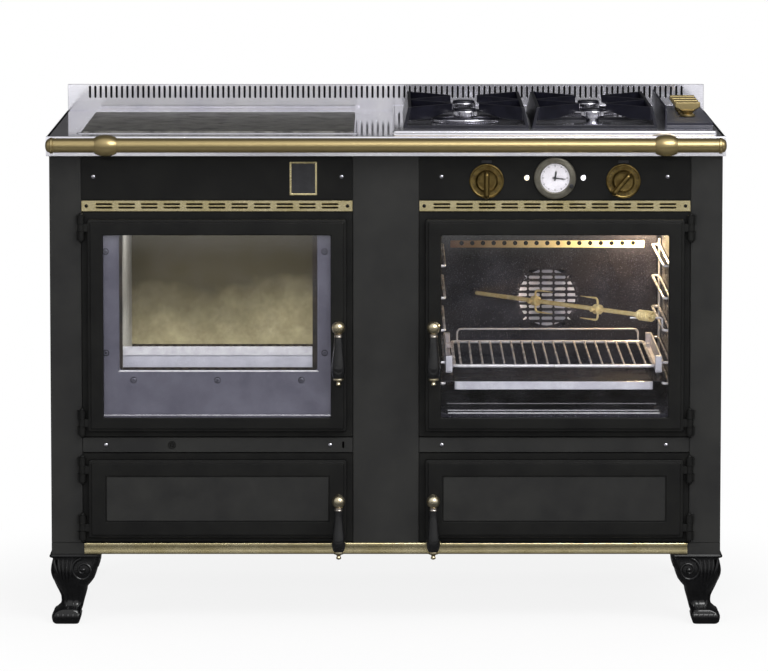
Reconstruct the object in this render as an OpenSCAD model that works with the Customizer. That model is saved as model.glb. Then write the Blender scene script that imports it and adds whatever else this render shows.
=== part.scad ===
// Cast iron range cooker: wood fire on the left, electric oven and four gas burners on the right.
// Millimetres, +Z up, +X to the right as seen from the front, +Y to the back.
// The origin is on the floor, in the middle of the overall box.

/* [Cabinet] */
// Width across the two corner columns
cabinet_w = 1200; // [1140:5:1320]
// Depth from the face of the columns to the back panel's outer face
cabinet_d = 630; // [600:5:680]
// Width of each corner column
corner_w = 56.5; // [50:0.5:64]
// Width of the centre column
centre_w = 118; // [104:1:130]
// Setback of the cabinet face behind the worktop's front edge
face_setback = 10; // [6:1:14]
// Sheet thickness of the panels
sheet = 3; // [2.5:0.1:3.5]

/* [Height stack] */
// Height of the legs
leg_h = 128; // [116:1:150]
// Height of the base frame
base_h = 20; // [16:1:26]
// Height of the lower surrounds
lower_h = 160.5; // [145:0.5:180]
// Height of the strips between the doors
strip_h = 27; // [22:0.5:32]
// Height of the upper surrounds
upper_h = 403.5; // [385:0.5:430]
// Height of the pierced brass strips
vent_h = 19.5; // [17:0.5:24]
// Height of the control fascias
fascia_h = 72.5; // [68:0.5:80]
// Height of the worktop's front apron
apron_h = 40; // [36:1:46]
// Open seam between neighbouring front panels
seam = 1.5; // [0.8:0.1:2]

/* [Worktop] */
// Overhang of the worktop past each side of the cabinet
top_overhang = 5; // [4:0.5:12]
// Overhang of the worktop behind the back panel
top_back = 10; // [6:1:20]
// Height of the slotted backsplash
splash_h = 50; // [40:1:70]
// Spacing of the backsplash slots
splash_pitch = 10.1; // [9:0.1:14]
// Width of a backsplash slot
splash_slot_w = 4; // [3:0.5:6]
// Length of a backsplash slot
splash_slot_h = 23; // [14:1:28]
// Width of the hotplate
hotplate_w = 486.5; // [440:0.5:490]
// Depth of the hotplate
hotplate_d = 481; // [440:1:500]
// Thickness of the hotplate
hotplate_t = 12; // [10:1:16]
// Distance from the worktop's front edge to the hotplate
hotplate_front = 70; // [55:1:80]
// Diameter of the hotplate's round plug
plug_d = 140; // [110:1:170]
// Width of the raised rim round the hotplate
rim_w = 8; // [6:1:12]
// Height of that rim above the worktop
rim_h = 4; // [2:0.5:6]
// Gap round the hotplate and its plug
plate_gap = 0.6; // [0.4:0.1:1.2]

/* [Gas hob] */
// Height of the gas tray above the worktop
tray_h = 10; // [8:1:16]
// Left edge of the gas tray, from the middle of the cooker
tray_left = 11.6; // [10:0.2:16]
// Gap between the gas tray and the right end of the worktop
tray_right_gap = 15.4; // [12:0.2:20]
// Spacing of the two burner rows
burner_dy = 208; // [200:1:216]
// Front burner row, from the worktop's front edge
burner_front = 154; // [150:1:160]
// Gap between the gas tray's left edge and the left pan support
support_left_gap = 28.15; // [24:0.05:32]
// Gap between the two pan supports
support_gap = 22; // [18:0.5:30]
// Gap between the right pan support and the control strip
support_strip_gap = 22.25; // [18:0.25:30]
// Depth of a pan support
support_d = 417; // [405:1:425]
// Height of a pan support
support_h = 38.6; // [36:0.2:46]
// Thickness of its bars
support_bar = 6; // [5:0.5:8]
// Width of the ribbed control strip
strip_w = 86; // [80:1:90]
// Length of the control strip
strip_len = 471; // [455:1:480]
// Gap between the control strip and the gas tray's right edge
strip_side_gap = 4.6; // [3:0.2:8]
// Height of the control strip above the gas tray
strip_rise = 10; // [8:1:14]
// Spacing of the four gas knobs
gas_pitch = 60; // [58:1:66]
// Length of a gas knob's bar
gas_bar = 46; // [38:1:50]

/* [Rail] */
// Diameter of the rail
rail_d = 25; // [20:1:28]
// Distance of the rail's axis in front of the worktop
rail_out = 45; // [40:1:55]
// Height of the rail's axis below the worktop's top
rail_drop = 13; // [10:1:20]
// Distance of each ball bracket from the middle
bracket_x = 496.5; // [440:0.5:540]
// Diameter of a ball bracket
bracket_d = 38; // [34:1:42]
// Overall length of the rail with its domed ends
rail_len = 1207; // [1200:1:1224]

/* [Doors] */
// Margin of the surround that shows round an upper door
door_margin = 11.5; // [9:0.5:13]
// Margin of the surround that shows round a lower door
lower_margin = 10; // [8:0.5:12]
// Thickness of a door casting
door_t = 20; // [16:1:22]
// Width of the casting round the window, at the sides and top
window_rail = 28; // [25:0.5:32]
// Width of the casting under the window
window_foot = 25.5; // [24:0.5:30]
// Thickness of the door glass
glass_t = 4; // [3:0.5:5]
// Open gap between a closed door and its surround
door_gap = 2; // [1:0.2:3]
// Overlap of a door over its opening
door_overlap = 9.5; // [8.5:0.5:11]
// Thickness of the surrounds
surround_t = 8; // [6:1:10]
// Opening angle of the doors, in degrees
door_swing = 110; // [90:5:120]

/* [Hinges and handles] */
// Diameter of a hinge knuckle
knuckle_d = 12.5; // [11:0.5:14]
// Height of a three-knuckle hinge
hinge_h = 44; // [38:1:50]
// Diameter of a hinge pin
pin_d = 6; // [5:0.5:7]
// Play between a hinge pin and the door's knuckle
pin_play = 0.05; // [0.03:0.01:0.1]
// Diameter of a handle's brass ball
ball_d = 24; // [20:1:28]
// Distance of that ball's centre in front of the door
ball_out = 30; // [27:1:36]
// Distance of the spindle from the door's free edge
spindle_in = 14; // [13:0.5:16]
// Diameter of the spindle
spindle_d = 10; // [8:0.5:11]
// Length of the black grip
grip_len = 74.5; // [65:0.5:90]
// Widest diameter of the black grip
grip_d = 22.8; // [18:0.2:26]

/* [Controls] */
// Distance of each oven knob from the middle of the right bay
knob_dx = 121.8; // [112:0.2:130]
// Diameter of the disc behind an oven knob
dial_d = 61.6; // [56:0.2:64]
// Diameter of an oven knob
knob_d = 40.8; // [36:0.2:46]
// Diameter of the clock
clock_d = 75; // [64:1:80]
// Diameter of the clock's dial
clock_dial_d = 52; // [44:1:56]
// Distance of each indicator lamp from the middle of the right bay
lamp_dx = 50.3; // [47:0.1:56]

/* [Oven] */
// Distance from each side of the right bay to the oven's inside
oven_margin = 30.25; // [28:0.25:36]
// Height of the oven's inside
oven_h = 334; // [322:1:340]
// Depth of the oven's inside
oven_d = 460; // [440:5:480]
// Height of the shelf above the oven's floor
shelf_rise = 84; // [76:1:96]
// Diameter of a shelf wire
wire_d = 4; // [3.5:0.5:5]
// Number of shelf wires
wire_n = 18; // [12:1:20]
// Diameter of the fan wheel
fan_d = 130; // [100:2:150]
// Diameter of the spit
spit_d = 8; // [7:0.5:9]
// Height of the spit above the oven's floor
spit_rise = 173; // [168:1:180]
// Distance of the spit's front end from the oven's right wall
spit_side_gap = 34; // [30:1:40]
// Spacing of the rack's upper levels
rack_pitch = 58; // [54:1:62]

/* [Fire] */
// Distance from each side of the left bay to the fire chamber
fire_margin = 72.25; // [66:0.25:80]
// Thickness of the refractory lining
lining = 30; // [24:1:34]
// Distance from the back of the fire box to the rear edge of the hotplate
fire_back_in = 131; // [120:1:150]
// Height of the grate above the door opening's sill
grate_rise = 103; // [96:1:110]
// Diameter of the flue outlet
flue_d = 150; // [130:5:180]
// Length of the flue outlet behind the worktop
flue_out = 30; // [25:1:60]

/* [Hidden] */
$fn = 48;

black = "#242424";
brass = "#b8a46a";
steel = "#c9c6d3";
iron = "#3a3a3c";
chrome = "#dcdce2";
enamel = "#1c1c26";
clay = "#8f8464";

// Heights
base_z = leg_h;
lower_z = base_z + base_h + seam;
strip_z = lower_z + lower_h + seam;
upper_z = strip_z + strip_h + seam;
vent_z = upper_z + upper_h + seam;
fascia_z = vent_z + vent_h + seam;
apron_z = fascia_z + fascia_h + seam;
top_z = apron_z + apron_h;
tray_z = top_z + tray_h;
control_z = tray_z + strip_rise;

// Widths
half_w = cabinet_w / 2;
bay_in = centre_w / 2;
bay_out = half_w - corner_w;
bay_w = bay_out - bay_in;
bay_x = (bay_in + bay_out) / 2;
top_half = half_w + top_overhang;

// Depths: t is the distance behind the worktop's front edge
surround_setback = 2;
face_t = face_setback;
panel_t = face_t + surround_setback;
back_t = face_t + cabinet_d;
top_d = back_t + top_back;
liner_t = panel_t + surround_t;
door_back = panel_t - door_gap;
door_front = door_back - door_t;
hinge_t = door_back - door_t / 2;
front_y = (rail_out + bracket_d / 2 - top_d - flue_out) / 2;

// Doors
upper_door = [bay_in + door_margin, bay_out - door_margin,
              upper_z + door_margin, upper_z + upper_h - door_margin];
lower_door = [upper_door[0], upper_door[1], lower_z + lower_margin, lower_z + lower_h - lower_margin];
// The lower openings reach past the latch cam, which turns clear of their edge
latch_overlap = 3.5;
upper_hole = inset(upper_door, door_overlap);
lower_hole = [lower_door[0] + latch_overlap, lower_door[1] - door_overlap, lower_door[2] + door_overlap,
              lower_door[3] - door_overlap];
window = [upper_door[0] + window_rail, upper_door[1] - window_rail,
          upper_door[2] + window_foot, upper_door[3] - window_rail];
bevel = 5;
bevel_step = 4;
spindle_x = upper_door[0] + spindle_in;
upper_spindle_z = (upper_door[2] + upper_door[3]) / 2;
lower_spindle_z = (lower_door[2] + lower_door[3]) / 2;
latch_r = 9;
latch_t = 5;
latch_clear = 5;
spindle_play = 0.05;
hinge_inset = 3;
knuckle_gap = 0.4;

// Hob
plate_x = -(bay_x + 0.5);
plate_seat = top_z + rim_h - hotplate_t;
plug_t = hotplate_front + hotplate_d - plug_d / 2 - 9;
lift_hole_t = hotplate_front + 192;
tray_w = top_half - tray_right_gap - tray_left;
strip_left = tray_left + tray_w - strip_w - strip_side_gap;
support_w = (strip_left - tray_left - support_left_gap - support_gap - support_strip_gap) / 2;
burner_left = tray_left + support_left_gap + support_w / 2;
burner_dx = support_w + support_gap;
support_front = burner_front - (support_d - burner_dy) / 2 + 0.5;
strip_front = support_front;
strip_back = strip_front + strip_len;
knob_x = strip_left + strip_w / 2 + 5;
gas_front = burner_front + 50;
cap_z = tray_z + 25;
gas_rail_r = 8;
gas_rail_z = top_z - 21;
gas_shaft_r = 4;
rail_z = top_z - rail_drop;

// Controls
fascia_t = 3;
dial_z = fascia_z + 33.5;
clock_z = fascia_z + 39;
dial_disc_t = 4;
clock_depth = 8.7;
clock_face_t = panel_t - 2;
run = 0.3;
hand_shaft_r = 1.2;

// Oven and fire
oven_w = bay_w - 2 * oven_margin;
fire_w = bay_w - 2 * fire_margin;
fire_d = hotplate_front + hotplate_d - fire_back_in - liner_t;
oven_floor = upper_z + upper_h - door_margin - door_overlap - 8 - oven_h;
oven_t = liner_t;
oven_cx = bay_x;
cover_gap = 26;
cover_t = oven_t + oven_d - cover_gap;
fan_z = oven_floor + oven_h / 2 - 4;
shelf_z = oven_floor + shelf_rise;
rack_x = oven_w / 2 - 4;
runner_w = 12;
runner_lap = 14;
runner_h = 30;
runner_seat = 6;
shelf_half = rack_x - runner_lap - runner_w - 3.5;
rack_front = oven_t + 22;
rack_back = cover_t - 12;
spit_z = oven_floor + spit_rise;
spit_back_x = oven_cx - oven_w / 3 + 4 / 3;
spit_front_x = oven_cx + oven_w / 2 - spit_side_gap;
spit_front_t = oven_t + 16;
spit_angle = atan2(cover_t - spit_front_t, spit_back_x - spit_front_x);
spit_len = norm([spit_back_x - spit_front_x, cover_t - spit_front_t]);
fire_floor = upper_hole[2];
fire_t = liner_t;
shell_in = fire_w / 2 + lining;
grate_z = fire_floor + grate_rise;
flue_z = top_z - 60 - flue_d / 2;

function inset(r, d) = [r[0] + d, r[1] - d, r[2] + d, r[3] - d];

// ---- shared shapes -------------------------------------------------------------------------

// Depths inside are measured from the worktop's front edge
module placed() { translate([0, front_y, 0]) children(); }

module box(lo, hi) { translate(lo) cube(hi - lo); }

// A plate from t0 to t1 over the front-view rectangle r = [x0, x1, z0, z1]
module plate(r, t0, t1) { box([r[0], t0, r[2]], [r[1], t1, r[3]]); }

module both_sides() {
  children();
  mirror([1, 0, 0]) children();
}

// What is drawn for the right bay goes to the left bay when side is negative
module bay(side) {
  if (side < 0) mirror([1, 0, 0]) children();
  else children();
}

// A cylinder that runs from t0 to t1 along the depth
module along_depth(x, z, t0, t1, r) {
  translate([x, t1, z]) rotate([90, 0, 0]) cylinder(h = t1 - t0, r = r);
}

// A turned shape whose axis points to the front, from [radius, height] points
module turned_front(x, t, z) {
  translate([x, t, z]) rotate([90, 0, 0]) rotate_extrude() children();
}

// A picture-frame shape between the rectangles r and hole
module frame_plate(r, hole, t0, t1) {
  difference() {
    plate(r, t0, t1);
    plate(hole, t0 - 1, t1 + 1);
  }
}

// ---- legs and base ------------------------------------------------------------------------

leg_w = 88;
leg_plate_h = 8;

// Outline of a cabriole leg: its outer curve from plate to foot, then its inner curve back up
module leg_outline() {
  outer_curve = [[2, leg_h - leg_plate_h], [0, 98], [0, 88], [7, 70], [16, 53], [17, 38], [12, 29],
                 [3.5, 25.5],
                 [0, 16], [0, 6], [3.5, 0]];
  inner_curve = [[46.5, 0], [51, 10], [53, 25], [57, 41], [62, 60], [63, 70], [71, 76], [78, 87], [79, 97],
                 [85, 101], [86, leg_h - leg_plate_h]];
  polygon(concat(outer_curve, inner_curve));
}

module leg() {
  intersection() {
    translate([0, leg_w, 0]) rotate([90, 0, 0]) linear_extrude(leg_w) leg_outline();
    rotate([90, 0, 90]) linear_extrude(leg_w) leg_outline();
  }
  translate([0, 0, leg_h - leg_plate_h]) cube([leg_w, leg_w, leg_plate_h]);
}

module legs() {
  color(black) placed() both_sides() {
    translate([-half_w, face_t, 0]) leg();
    translate([-half_w, back_t, 0]) mirror([0, 1, 0]) leg();
  }
}

module base_frame() {
  inner = half_w - 3 * sheet;
  color(black) placed() difference() {
    box([-half_w, face_t, base_z], [half_w, back_t, base_z + base_h]);
    box([-inner, face_t + 3 * sheet, base_z + sheet], [inner, back_t - 3 * sheet, base_z + base_h + 1]);
  }
}

trim_t = 2.5;
trim_half = half_w - corner_w - 2.5;

module base_trim() {
  joint_x = -bay_in;
  color(brass) placed() {
    box([-trim_half, face_t - trim_t, base_z], [joint_x - 0.2, face_t, base_z + base_h]);
    box([joint_x + 0.2, face_t - trim_t, base_z], [trim_half, face_t, base_z + base_h]);
  }
}

// ---- cabinet ------------------------------------------------------------------------------

column_d = 40;
column_wall = 4;
panel_foot = base_z + base_h;
under_top = top_z - sheet;

module column(x0, x1) {
  difference() {
    box([x0, face_t, panel_foot], [x1, face_t + column_d, under_top]);
    box([x0 + column_wall, face_t + column_wall, panel_foot - 1],
        [x1 - column_wall, face_t + column_d + 1, under_top + 1]);
  }
}

module front_columns() {
  color(black) placed() {
    both_sides() column(bay_out, half_w);
    column(-bay_in, bay_in);
  }
}

module outer_panels() {
  gland_x = half_w - 60;
  color(black) placed() {
    both_sides() box([half_w - sheet, face_t + column_d, panel_foot],
                     [half_w, back_t - sheet - panel_gap, under_top]);
    difference() {
      box([-half_w, back_t - sheet, panel_foot], [half_w, back_t, under_top]);
      along_depth(-bay_x, flue_z, back_t - 2 * sheet, back_t + 1, flue_d / 2 + 1);
      along_depth(knob_x, gas_rail_z, back_t - 2 * sheet, back_t + 1, gas_rail_r + 1);
      along_depth(gland_x, gland_z, back_t - 2 * sheet, back_t + 1, gland_r + 2);
      for (row = [0:6]) box([oven_cx - 110, back_t - 2 * sheet, fan_z + 40 + 18 * row],
                            [oven_cx + 110, back_t + 1, fan_z + 46 + 18 * row]);
    }
    difference() {
      along_depth(gland_x, gland_z, back_t - sheet, back_t + gland_len, gland_r + 2);
      along_depth(gland_x, gland_z, back_t - sheet - 1, back_t + gland_len + 1, gland_r);
    }
  }
}

// Gap between a side panel's rear edge and the back panel
panel_gap = 0.3;
gland_r = 6;
gland_len = 15;
gland_z = lower_z + 60;

// ---- front panels -------------------------------------------------------------------------

module surrounds() {
  upper = [bay_in, bay_out, upper_z, upper_z + upper_h];
  lower = [bay_in, bay_out, lower_z, lower_z + lower_h];
  color(black) placed() both_sides() {
    difference() {
      frame_plate(upper, upper_hole, panel_t, liner_t);
      along_depth(spindle_x, upper_spindle_z, panel_t - 1, liner_t + 1, latch_r + latch_clear);
    }
    frame_plate(lower, lower_hole, panel_t, liner_t);
  }
}

air_x = bay_x + 82;
air_z = strip_z + strip_h / 2;
air_r = 7;

module mid_strips() {
  r = [bay_in, bay_out, strip_z, strip_z + strip_h];
  color(black) placed() {
    plate(r, panel_t, liner_t);
    mirror([1, 0, 0]) difference() {
      plate(r, panel_t, liner_t);
      along_depth(air_x, air_z, panel_t - 1, liner_t + 1, 3 + run);
      box([bay_in + 16, panel_t - 1, air_z - 6], [bay_in + 19, liner_t + 1, air_z + 6]);
    }
  }
}

vent_side = 0.3;
vent_slot_w = 29.2;
vent_slot_h = 3.2;
vent_pitch = 40.3;
vent_row_gap = 6.3;
vent_end = 24;
vent_screw_in = 9;

module vent_strips() {
  z_mid = vent_z + vent_h / 2;
  count = floor((bay_w - 2 * vent_side - 2 * vent_end - vent_slot_w) / vent_pitch) + 1;
  slots_w = (count - 1) * vent_pitch + vent_slot_w;
  color(brass) placed() both_sides() difference() {
    plate([bay_in + vent_side, bay_out - vent_side, vent_z, vent_z + vent_h], panel_t, panel_t + sheet);
    for (i = [0:count - 1], row = [-0.5, 0.5])
      translate([bay_x - slots_w / 2 + i * vent_pitch, panel_t - 1,
          z_mid + row * vent_row_gap - vent_slot_h / 2])
        cube([vent_slot_w, sheet + 2, vent_slot_h]);
  }
}

module fascias() {
  r = [bay_in, bay_out, fascia_z, fascia_z + fascia_h];
  color(black) placed() {
    mirror([1, 0, 0]) plate(r, panel_t, panel_t + fascia_t);
    difference() {
      plate(r, panel_t, panel_t + fascia_t);
      for (side = [-1, 1]) {
        along_depth(bay_x + side * knob_dx, dial_z, panel_t - 1, liner_t, 4 + run);
        along_depth(bay_x + side * lamp_dx, clock_z, panel_t - 1, liner_t, lamp_r - 1.5);
      }
      along_depth(bay_x, clock_z, panel_t - 1, liner_t, clock_back_r);
    }
  }
}

lamp_r = 5.5;
badge_w = 49;
badge_h = 60;
badge_x = -bay_x + 154;

// Dial discs behind the oven knobs, index marks, indicator lamps and the framed plate
module fascia_fittings() {
  badge = [badge_x - badge_w / 2, badge_x + badge_w / 2, fascia_z + 8, fascia_z + 8 + badge_h];
  color(brass) placed() {
    for (side = [-1, 1]) {
      x = bay_x + side * knob_dx;
      difference() {
        along_depth(x, dial_z, panel_t - dial_disc_t, panel_t, dial_d / 2);
        along_depth(x, dial_z, panel_t - dial_disc_t - 1, panel_t + 1, 4 + run);
      }
      plate([x - 9, x + 9, dial_z + dial_d / 2 + 1, dial_z + dial_d / 2 + 6.4], panel_t - 1, panel_t);
      difference() {
        along_depth(x, dial_z, panel_t + fascia_t, panel_t + fascia_t + 30, 17);
        along_depth(x, dial_z, panel_t, panel_t + fascia_t + 15, 4 + run);
      }
      along_depth(bay_x + side * lamp_dx, clock_z, panel_t - 3, panel_t, lamp_r);
      along_depth(bay_x + side * lamp_dx, clock_z, panel_t, panel_t + fascia_t + 12, lamp_r - 1.5);
    }
    plate(badge, panel_t - 1, panel_t);
    frame_plate(badge, inset(badge, 2.5), panel_t - 2.2, panel_t - 1);
  }
}

screw_r = 4;

module dome_screw(x, t, z, r = screw_r) {
  turned_front(x, t, z) intersection() {
    translate([0, -r * 0.6]) circle(r = r * 1.166);
    square([2 * r, 2 * r]);
  }
}

module panel_screws() {
  fascia_mid = fascia_z + 41;
  strip_mid = strip_z + strip_h / 2;
  color(chrome) placed() {
    both_sides() {
      dome_screw(bay_out - 42, panel_t, strip_mid);
      dome_screw(bay_in + 41, panel_t, strip_mid);
      for (x = [bay_in + vent_side + vent_screw_in, bay_out - vent_side - vent_screw_in])
        dome_screw(x, panel_t, vent_z + vent_h / 2, 3.2);
    }
    dome_screw(-bay_out + 22, panel_t, fascia_mid);
    dome_screw(-bay_in - 20, panel_t, fascia_mid);
    dome_screw(bay_in + 40, panel_t, fascia_mid);
    dome_screw(bay_out - 41.5, panel_t, fascia_mid);
  }
}

// ---- hinges -------------------------------------------------------------------------------

// Lowest points of the hinges on a door: one hinge_inset from its top, one from its foot
function hinge_zs(door, off) = [door[2] - off, door[3] - hinge_h + off];
upper_hinge_off = 7;
lower_hinge_off = 4;
hinge_x = bay_out;
knuckle_h = hinge_h / 3;
knuckle_r = knuckle_d / 2;

module knuckle(z0, z1, bore_r) {
  difference() {
    translate([hinge_x, hinge_t, z0]) cylinder(h = z1 - z0, r = knuckle_r);
    translate([hinge_x, hinge_t, z0 - 1]) cylinder(h = z1 - z0 + 2, r = bore_r);
  }
}

// The two knuckles that the column carries, with their feet, and the pin through them
module hinge(z) {
  foot_w = 9;
  for (z0 = [z, z + 2 * knuckle_h]) {
    knuckle(z0, z0 + knuckle_h, pin_d / 2);
    difference() {
      box([hinge_x + 0.5, hinge_t, z0], [hinge_x + foot_w, face_t, z0 + knuckle_h]);
      translate([hinge_x, hinge_t, z0 - 1]) cylinder(h = knuckle_h + 2, r = knuckle_r - 1);
    }
  }
  translate([hinge_x, hinge_t, z - 1]) cylinder(h = hinge_h + 2, r = pin_d / 2);
  translate([hinge_x, hinge_t, z - 1]) sphere(r = pin_d / 2 + 1);
  translate([hinge_x, hinge_t, z + hinge_h + 1]) sphere(r = pin_d / 2 + 1);
}

module hinges() {
  color(black) placed() both_sides() {
    for (z = hinge_zs(upper_door, upper_hinge_off)) hinge(z);
    for (z = hinge_zs(lower_door, lower_hinge_off)) hinge(z);
  }
}

// The knuckle on the door, with the lug that joins it to the casting
module door_lugs(door, off) {
  for (z = hinge_zs(door, off)) {
    z0 = z + knuckle_h + knuckle_gap;
    z1 = z + 2 * knuckle_h - knuckle_gap;
    knuckle(z0, z1, pin_d / 2 + pin_play);
    difference() {
      box([door[1] - 2, hinge_t - 5, z0], [hinge_x - 2, hinge_t + 4, z1]);
      translate([hinge_x, hinge_t, z0 - 1]) cylinder(h = z1 - z0 + 2, r = knuckle_r - 1);
    }
  }
}

// ---- doors --------------------------------------------------------------------------------

// A casting with a stepped raised edge
module door_blank(door) {
  plate(door, door_front + bevel_step, door_back);
  plate(inset(door, bevel), door_front, door_front + bevel_step);
}

module spindle_bore(z) {
  along_depth(spindle_x, z, door_front - 1, door_back + 1, spindle_d / 2 + spindle_play);
}

rebate = 8;
glass_front = door_back - door_t + 6;

module glazed_door() {
  difference() {
    door_blank(upper_door);
    plate(window, door_front - 1, door_back + 1);
    plate(inset(window, -rebate), glass_front, door_back + 1);
    spindle_bore(upper_spindle_z);
  }
  door_lugs(upper_door, upper_hinge_off);
}

module door_glass() { plate(inset(window, -rebate), glass_front, glass_front + glass_t); }

module fire_door() { color(black) placed() bay(-1) glazed_door(); }
module fire_door_glass() { color("#9fb0b4") placed() bay(-1) door_glass(); }
module oven_door() { color(black) placed() bay(1) glazed_door(); }
module oven_door_glass() { color("#9fb0b4") placed() bay(1) door_glass(); }

fire_band = 28;
fire_band_in = 24;
frame_screw_r = 2.6;
fire_band_low = 84;
seal_w = 7;

// Inner steel frame behind the fire glass, its four screws, and the rope seal
module fire_door_frame() {
  outer = inset(window, -rebate);
  hole = [window[0] + fire_band_in, window[1] - fire_band, window[2] + fire_band_low, window[3]];
  glass_back = glass_front + glass_t;
  t0 = glass_back + 3;
  rope = inset(upper_door, door_overlap - seal_w);
  color("#55525f") placed() bay(-1) {
    frame_plate(outer, inset(outer, rebate - 2), glass_back, t0);
    frame_plate(outer, hole, t0, t0 + 3);
    for (x = [window[0] + 11, window[1] - 4], z = [window[3] - 36, window[2] + 115])
      dome_screw(x, t0, z, frame_screw_r);
    for (x = [-150, 0, 150]) dome_screw(bay_x + x, t0, window[2] + 66, frame_screw_r);
    difference() {
      frame_plate(rope, inset(rope, seal_w), door_back, panel_t - 0.2);
      along_depth(spindle_x, upper_spindle_z, door_back - 1, panel_t + 1, latch_r + latch_clear);
    }
  }
}

panel_in = 30;
panel_in_z = 29;
groove = 2;

// A lower door: a flat casting with a raised panel in a groove
module flat_door() {
  door = lower_door;
  field = [door[0] + panel_in, door[1] - panel_in, door[2] + panel_in_z, door[3] - panel_in_z + 1];
  difference() {
    door_blank(door);
    difference() {
      plate(field, door_front - 1, door_front + 2);
      plate(inset(field, groove), door_front - 2, door_front + 3);
    }
    spindle_bore(lower_spindle_z);
  }
  door_lugs(door, lower_hinge_off);
}

module wood_door() { color(black) placed() bay(-1) flat_door(); }
module store_door() { color(black) placed() bay(1) flat_door(); }

// ---- handles ------------------------------------------------------------------------------

ball_r = ball_d / 2;
rose_r = 9;
rose_t = 4;
neck_r = 5.5;

// Half section of the hanging grip: collar, grip, ring and finial, downwards from the ball
module grip_section() {
  top = -ball_r + 1;
  grip_top = top - 5;
  swell = grip_top - grip_len * 0.72;
  grip_end = grip_top - grip_len;
  polygon([[0, top], [7, top], [7, grip_top], [7.75, grip_top], [9.6, grip_top - grip_len * 0.36],
           [grip_d / 2, swell], [grip_d / 2 - 0.8, swell - 7], [8, grip_end], [8.6, grip_end],
           [8.6, grip_end - 4], [6, grip_end - 5], [4, grip_end - 9], [5.5, grip_end - 12],
           [4, grip_end - 15], [0, grip_end - 16]]);
}

// One handle on the axis of its spindle, drawn for the right bay
module handle(z) {
  ball_t = door_front - ball_out;
  translate([spindle_x, ball_t, z]) {
    sphere(r = ball_r);
    rotate_extrude() grip_section();
  }
  along_depth(spindle_x, z, ball_t, door_front - run, neck_r);
  along_depth(spindle_x, z, door_front - run - rose_t, door_front - run, rose_r);
  along_depth(spindle_x, z, door_front - run, door_back + run, spindle_d / 2);
  along_depth(spindle_x, z, door_back + run, door_back + run + latch_t, latch_r);
}

module handle_fire_door() { color(brass) placed() bay(-1) handle(upper_spindle_z); }
module handle_oven_door() { color(brass) placed() bay(1) handle(upper_spindle_z); }
module handle_wood_door() { color(brass) placed() bay(-1) handle(lower_spindle_z); }
module handle_store_door() { color(brass) placed() bay(1) handle(lower_spindle_z); }

// ---- worktop ------------------------------------------------------------------------------

plate_box = [plate_x - hotplate_w / 2, plate_x + hotplate_w / 2, hotplate_front, hotplate_front + hotplate_d];

module worktop() {
  hole = inset(plate_box, -plate_gap);
  hob = [tray_left + 16, strip_left + strip_w - 6, support_front - 10, strip_back + 6];
  color(steel) placed() {
    difference() {
      box([-top_half, 0, apron_z], [top_half, top_d, top_z]);
      box([-top_half + sheet, sheet, apron_z - 1], [top_half - sheet, top_d + 1, top_z - sheet]);
      box([hole[0], hole[2], top_z - 2 * sheet], [hole[1], hole[3], top_z + 1]);
      box([hob[0], hob[2], top_z - 2 * sheet], [hob[1], hob[3], top_z + 1]);
    }
    difference() {
      box([hole[0] - rim_w, hole[2] - rim_w, top_z], [hole[1] + rim_w, hole[3] + rim_w, top_z + rim_h]);
      box([hole[0], hole[2], top_z - 1], [hole[1], hole[3], top_z + rim_h + 1]);
    }
  }
}

module backsplash() {
  t0 = top_d - 2 * sheet;
  half = top_half - 2.5;
  margin = 38;
  count = floor((2 * half - 2 * margin) / splash_pitch) + 1;
  color(steel) placed() {
    difference() {
      box([-half, t0, top_z], [half, t0 + sheet, top_z + splash_h]);
      for (i = [0:count - 1])
        translate([-(count - 1) * splash_pitch / 2 + i * splash_pitch - splash_slot_w / 2, t0 - 1,
                   top_z + splash_h - 3 - splash_slot_h])
          cube([splash_slot_w, sheet + 2, splash_slot_h]);
    }
    box([-half, t0 + sheet, top_z + splash_h - splash_slot_h - 8], [half, top_d, top_z + splash_h]);
  }
}

// ---- hotplate -----------------------------------------------------------------------------

ledge = 5;
ledge_t = hotplate_t / 2;

module hotplate() {
  color(iron) placed() difference() {
    box([plate_box[0], plate_box[2], plate_seat], [plate_box[1], plate_box[3], plate_seat + hotplate_t]);
    translate([plate_x, plug_t, plate_seat - 1])
      cylinder(h = hotplate_t + 2, r = plug_d / 2 - ledge, $fn = 96);
    translate([plate_x, plug_t, plate_seat + ledge_t]) cylinder(h = hotplate_t, r = plug_d / 2, $fn = 96);
    translate([plate_x, lift_hole_t, plate_seat + 4]) cylinder(h = hotplate_t, r = 5);
  }
}

module hotplate_plug() {
  color(iron) placed() difference() {
    union() {
      translate([plate_x, plug_t, plate_seat + ledge_t])
        cylinder(h = hotplate_t - ledge_t, r = plug_d / 2 - plate_gap, $fn = 96);
      translate([plate_x, plug_t, plate_seat])
        cylinder(h = ledge_t, r = plug_d / 2 - ledge - plate_gap, $fn = 96);
    }
    box([plate_x - 10, plug_t + plug_d / 2 - 30, plate_seat + ledge_t],
        [plate_x + 10, plug_t + plug_d / 2 - 18, plate_seat + hotplate_t + 1]);
  }
}

// ---- gas hob ------------------------------------------------------------------------------

burner_cup_r = 26;
ring_h = 9;
// Head radius of each burner, and the radius of its outer flame ring where it has one
burners = [[0, 0, 21.5, 61.5], [0, 1, 21.5, 0], [1, 0, 21, 0], [1, 1, 21, 58.5]];

module at_burner(b) {
  translate([burner_left + b[0] * burner_dx, burner_front + b[1] * burner_dy, 0]) children();
}

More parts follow.
